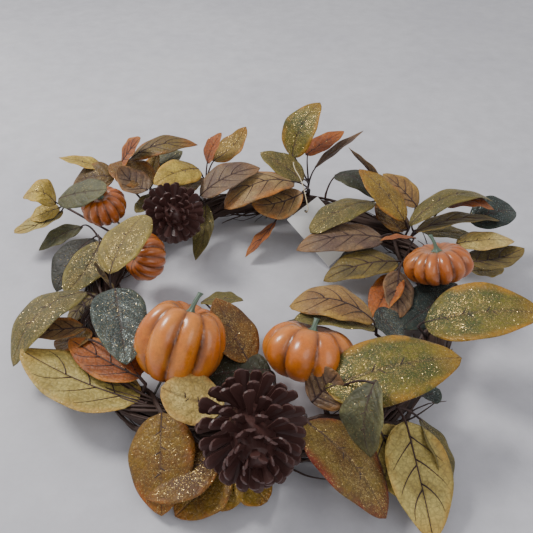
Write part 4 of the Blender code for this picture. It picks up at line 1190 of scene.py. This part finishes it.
class WREATH_OT_vine(bpy.types.Operator):
    """Give the vine strands their bark and wind thin twigs round them"""

    bl_idname = "wreath.vine"
    bl_label = "Vine ring"
    bl_options = {"REGISTER", "UNDO"}

    def execute(self, context):
        for node, obj in frame["nodes"].items():
            if node.startswith("vine_"):
                dress(obj, "vine_bark")
        tree = twig_tree()
        choice = settings()
        make_twigs("twigs_wound", tree, {"Twigs": choice.twigs, "Least Orbit": 0.0095, "Most Orbit": 0.0175,
                                         "Twig Radius": choice.twig_radius, "Seed": 8})
        make_twigs("twigs_stray", tree, {"Twigs": choice.twigs // 2, "Least Orbit": 0.013,
                                         "Most Orbit": 0.018, "Flare": 0.020, "Shortest": 0.15,
                                         "Longest": 0.55, "Twig Radius": choice.twig_radius * 0.62,
                                         "Seed": 47})
        return {"FINISHED"}


class WREATH_OT_leaves(bpy.types.Operator):
    """Build every leaf sprig with its stems, ribs and glitter"""

    bl_idname = "wreath.leaves"
    bl_label = "Leaf sprigs"
    bl_options = {"REGISTER", "UNDO"}

    def execute(self, context):
        for name in SPRIGS:
            make_sprig(name)
        return {"FINISHED"}


class WREATH_OT_pumpkins(bpy.types.Operator):
    """Build the pumpkins and their stalks"""

    bl_idname = "wreath.pumpkins"
    bl_label = "Pumpkins"
    bl_options = {"REGISTER", "UNDO"}

    def execute(self, context):
        for name in PUMPKINS:
            make_pumpkin(name)
            make_stalk(name)
        return {"FINISHED"}


class WREATH_OT_cones(bpy.types.Operator):
    """Build the cones from spirals of scales"""

    bl_idname = "wreath.cones"
    bl_label = "Cones"
    bl_options = {"REGISTER", "UNDO"}

    def execute(self, context):
        shape = scale_object()
        tree = cone_tree()
        for name in CONES:
            make_cone(name, tree, shape)
        bpy.data.objects.remove(shape)
        return {"FINISHED"}


class WREATH_OT_tag(bpy.types.Operator):
    """Finish the paper tag and lay its string"""

    bl_idname = "wreath.tag"
    bl_label = "Paper tag"
    bl_options = {"REGISTER", "UNDO"}

    def execute(self, context):
        dress(frame["nodes"]["tag_card"], "card_white")
        make_tag_string()
        return {"FINISHED"}


class WREATH_OT_wires(bpy.types.Operator):
    """Finish the hanging loop, its tie and the fixing wires"""

    bl_idname = "wreath.wires"
    bl_label = "Wires"
    bl_options = {"REGISTER", "UNDO"}

    def execute(self, context):
        for node, obj in frame["nodes"].items():
            if node.startswith(("hanger_", "pick_", "wire_")):
                dress(obj, "wire_steel")
        return {"FINISHED"}


STEPS = (WREATH_OT_stage, WREATH_OT_tag, WREATH_OT_vine, WREATH_OT_leaves, WREATH_OT_pumpkins,
         WREATH_OT_cones, WREATH_OT_wires)


class WREATH_PT_panel(bpy.types.Panel):
    """Lists the wreath's sizes and steps"""

    bl_idname = "WREATH_PT_panel"
    bl_label = "Harvest wreath"
    bl_space_type = "VIEW_3D"
    bl_region_type = "UI"
    bl_category = "Wreath"

    def draw(self, context):
        for name in WreathSettings.__annotations__:
            self.layout.prop(context.scene.harvest_wreath, name)
        for step in STEPS:
            self.layout.operator(step.bl_idname)


CLASSES = (WreathSettings,) + STEPS + (WREATH_PT_panel,)


def register():
    for cls in CLASSES:
        bpy.utils.register_class(cls)
    bpy.types.Scene.harvest_wreath = PointerProperty(type=WreathSettings)


def unregister():
    del bpy.types.Scene.harvest_wreath
    for cls in reversed(CLASSES):
        bpy.utils.unregister_class(cls)


def main():
    register()
    for step in STEPS:
        area, operator = step.bl_idname.split(".")
        getattr(getattr(bpy.ops, area), operator)()
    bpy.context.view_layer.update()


if __name__ == "__main__":
    main()
